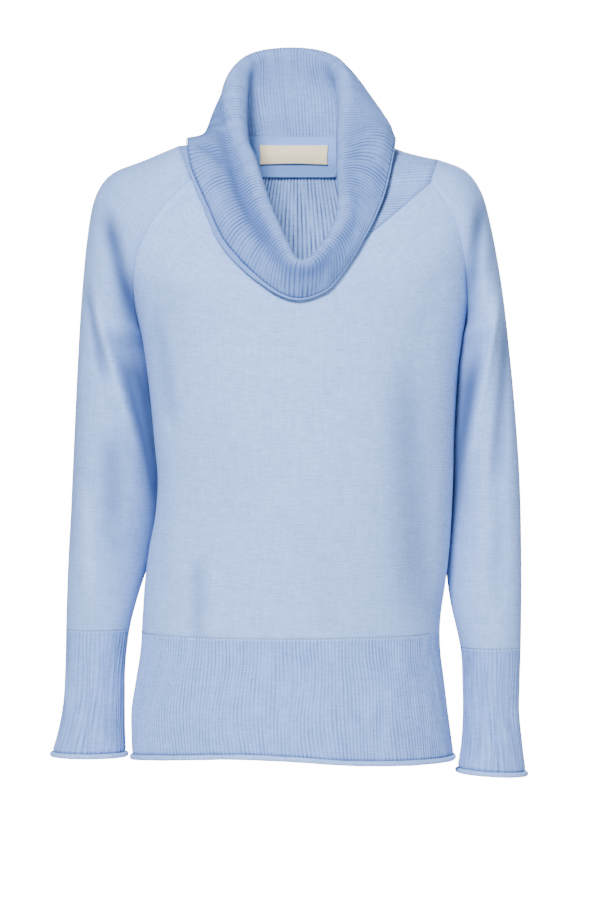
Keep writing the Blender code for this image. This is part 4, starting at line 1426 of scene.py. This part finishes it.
@dataclass
class NeckPatch:
    """A piece sewn flat inside the back of the neck, laid where its solid lies, with a turned edge."""

    name: str
    slot: str
    finish: bpy.types.Material
    rests_on: str
    columns: int
    rows: int
    wall: float
    bow: float = 0.0
    border: float = 1.6 * MM
    raise_edge: float = 0.35 * MM
    axis: tuple[float, float] = (-2 * MM, 5 * MM)
    inset: float = 0.4 * MM

    def build(self) -> None:
        """Makes the patch: rays from the neck's axis find the solid's inner face, and the grid is relaxed."""
        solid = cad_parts[self.name]
        corners = [vertex.co for vertex in solid.data.vertices]
        tree = BVHTree.FromPolygons(corners, [list(face.vertices) for face in solid.data.polygons])
        low, high = (np.array(corner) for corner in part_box(self.name))
        heights = np.linspace(low[2] + self.inset, high[2] - self.inset, self.rows + 1)
        grid = np.zeros((self.rows + 1, self.columns + 1, 3))
        for r, height in enumerate(heights):
            reach = self.reach_at(tree, height)
            for c, share in enumerate(np.linspace(-1, 1, self.columns + 1)):
                turn = share * reach
                lift = self.bow * (1 - share * share) * (1 - r / self.rows)
                start = Vector((*self.axis, height + lift))
                way = Vector((math.sin(turn), math.cos(turn), 0))
                hit = tree.ray_cast(start, way)[0]
                grid[r, c] = hit if hit is not None else grid[r, c - 1]
        grid = relaxed(relaxed(grid, 6), 6, axis=1)
        across, deep = (self.axis[k] - grid[..., k] for k in (0, 1))
        inwards = np.stack([across, deep, np.zeros_like(across)], axis=-1)
        normals = normals_of(grid, inwards)
        side, end = lengths_along(grid, 1), lengths_along(grid, 0)
        rim = np.minimum(np.minimum(side, side[:, -1:] - side), np.minimum(end, end[-1:] - end))
        near = np.exp(-(((rim - self.border / 2) / (self.border / 2)) ** 2))
        outer = grid + normals * (self.raise_edge * near)[..., None]
        # Painted shade along the patch's turned edge.
        fold = np.exp(-((rim / (0.5 * MM)) ** 2))
        sheet = Sheet(outer, grid - normals * self.wall, False, side.mean(axis=0), end.mean(axis=1), fold * 0.4)
        sewn(self.name, sheet, self.finish)

    def reach_at(self, tree: BVHTree, height: float) -> float:
        """How far round, in radians to each side, the solid reaches at a height."""
        start = Vector((*self.axis, height))
        for step in np.radians(np.arange(70, 5, -0.25)):
            ways = (Vector((side * math.sin(step), math.cos(step), 0)) for side in (-1, 1))
            if all(tree.ray_cast(start, way)[0] is not None for way in ways):
                return float(step) - math.radians(0.3)
        return math.radians(20)


# The studio


@dataclass(frozen=True)
class Softbox:
    """A large soft light: where it stands, what it faces, its size and strength."""

    name: str
    place: tuple[float, float, float]
    aim: tuple[float, float, float]
    size: float
    power: float


@dataclass
class Studio:
    """A pale floor, soft lights and the camera."""

    floor_height: float = -1.42
    floor_radius: float = 3.0
    camera_place: tuple[float, float, float] = (0.0055, -3.0, -0.3245)
    lens: float = 109.0
    ambient: float = 0.27
    cool: Colour = (0.86, 0.96, 1.12)
    backdrop: float = 16.0
    lights: tuple[Softbox, ...] = field(default_factory=lambda: (
        Softbox("key", (-0.74, -2.68, 1.46), (0.0, 0.0, -0.25), 1.0, 250.0),
        Softbox("front", (0.2, -3.3, 0.1), (0.0, 0.0, -0.2), 0.9, 10.0),
        Softbox("fill", (2.4, -1.7, -0.1), (0.1, 0.0, -0.35), 0.9, 22.0),
        Softbox("rear", (0.8, 2.6, 0.9), (0.0, 0.0, -0.25), 0.9, 105.0),
    ))

    def build(self) -> None:
        """Makes the studio."""
        self.build_floor()
        self.build_world()
        for light in self.lights:
            data = bpy.data.lights.new(light.name, "AREA")
            data.shape, data.size, data.energy, data.color = "DISK", light.size, light.power, self.cool
            lamp = placed(light.name, data)
            lamp.location = light.place
            lamp.rotation_euler = (Vector(light.aim) - Vector(light.place)).to_track_quat("-Z", "Y").to_euler()
        data = bpy.data.cameras.new("camera")
        data.lens, data.sensor_fit, data.sensor_height = self.lens, "VERTICAL", 36.0
        camera = placed("camera", data)
        camera.location = self.camera_place
        camera.rotation_euler = (math.pi / 2, 0.0, 0.0)
        bpy.context.scene.camera = camera

    def build_floor(self) -> None:
        """A round pale floor at a standing wearer's feet."""
        turn = np.linspace(0, 2 * math.pi, 97)[:-1]
        rim = np.stack([np.cos(turn), np.sin(turn), np.zeros_like(turn)], axis=-1) * self.floor_radius
        mesh = bpy.data.meshes.new("floor")
        mesh.from_pydata((rim + [0, 0, self.floor_height]).tolist(), [], [list(range(len(turn)))])
        paper = Shader("floor_paper").finished({"Base Color": (0.88, 0.88, 0.88, 1.0), "Roughness": 0.95})
        mesh.materials.append(paper)
        placed("floor", mesh)

    def build_world(self) -> None:
        """White all round, which lights the cloth less than it shows behind it."""
        world = bpy.data.worlds.new("studio")
        world.use_nodes = True
        nodes, links = world.node_tree.nodes, world.node_tree.links
        seen, lit = nodes["Background"], nodes.new("ShaderNodeBackground")
        seen.inputs["Strength"].default_value = self.backdrop
        seen.inputs["Color"].default_value = (1.0, 1.0, 1.0, 1.0)
        lit.inputs["Strength"].default_value = self.ambient
        lit.inputs["Color"].default_value = self.cool + (1.0,)
        path, mix = nodes.new("ShaderNodeLightPath"), nodes.new("ShaderNodeMixShader")
        links.new(path.outputs["Is Camera Ray"], mix.inputs[0])
        links.new(lit.outputs[0], mix.inputs[1])
        links.new(seen.outputs[0], mix.inputs[2])
        links.new(mix.outputs[0], nodes["World Output"].inputs["Surface"])
        bpy.context.scene.world = world


def main() -> None:
    """Builds the sweater piece by piece, then the studio."""
    form = Form()
    jersey = Knit("blue_jersey", BLUE, SHADOW_BLUE).build()
    body = Body(form, jersey)
    for face in ("front", "back"):
        body.build_panel(face)
    for arm in ARMS:
        body.build_sleeve(arm)

    def hem_at(share: Array, turns: Array) -> Array:
        """Points of the hem band, share 0 at its top and 1 at its end."""
        end, top = around(HEM_ENDS, "height", turns), HEM_TOP - HEM_SEAM
        return form.torso(top + (end - top) * share, np.asarray(turns) * 2 * math.pi) * MM

    def cuff_at(arm: str) -> Callable[[Array, Array], Array]:
        """The function that gives an arm's cuff points."""
        first = CUFF_ROW + SEAM_ROWS
        reach = CUFF_END - CUFF_ROW - SEAM_ROWS
        return lambda share, turns: form.sleeve(arm, first + reach * share, np.asarray(turns) * 2 - 1) * MM

    RibBand("hem_rib", "hem_roll", hem_at, 228, 30, 5, jersey).build()
    for arm in ARMS:
        RibBand("cuff_" + arm, "cuff_roll_" + arm, cuff_at(arm), 44, 34, 8, jersey).build()
    Collar(form).build()

    facing = Knit("facing_jersey", (0.24, 0.40, 0.78), SHADOW_BLUE, heather=0.05).build()
    NeckPatch("neck_facing", "facing_jersey", facing, "back_panel", 90, 36, 0.9 * MM).build()
    NeckPatch("label", "label_cotton", Woven().build(), "neck_facing", 60, 22, 0.6 * MM,
              bow=1.2 * MM, border=1.0 * MM, raise_edge=0.12 * MM).build()
    Studio().build()


if __name__ == "__main__":
    logging.basicConfig(level=logging.INFO, format="%(name)s: %(message)s")
    main()
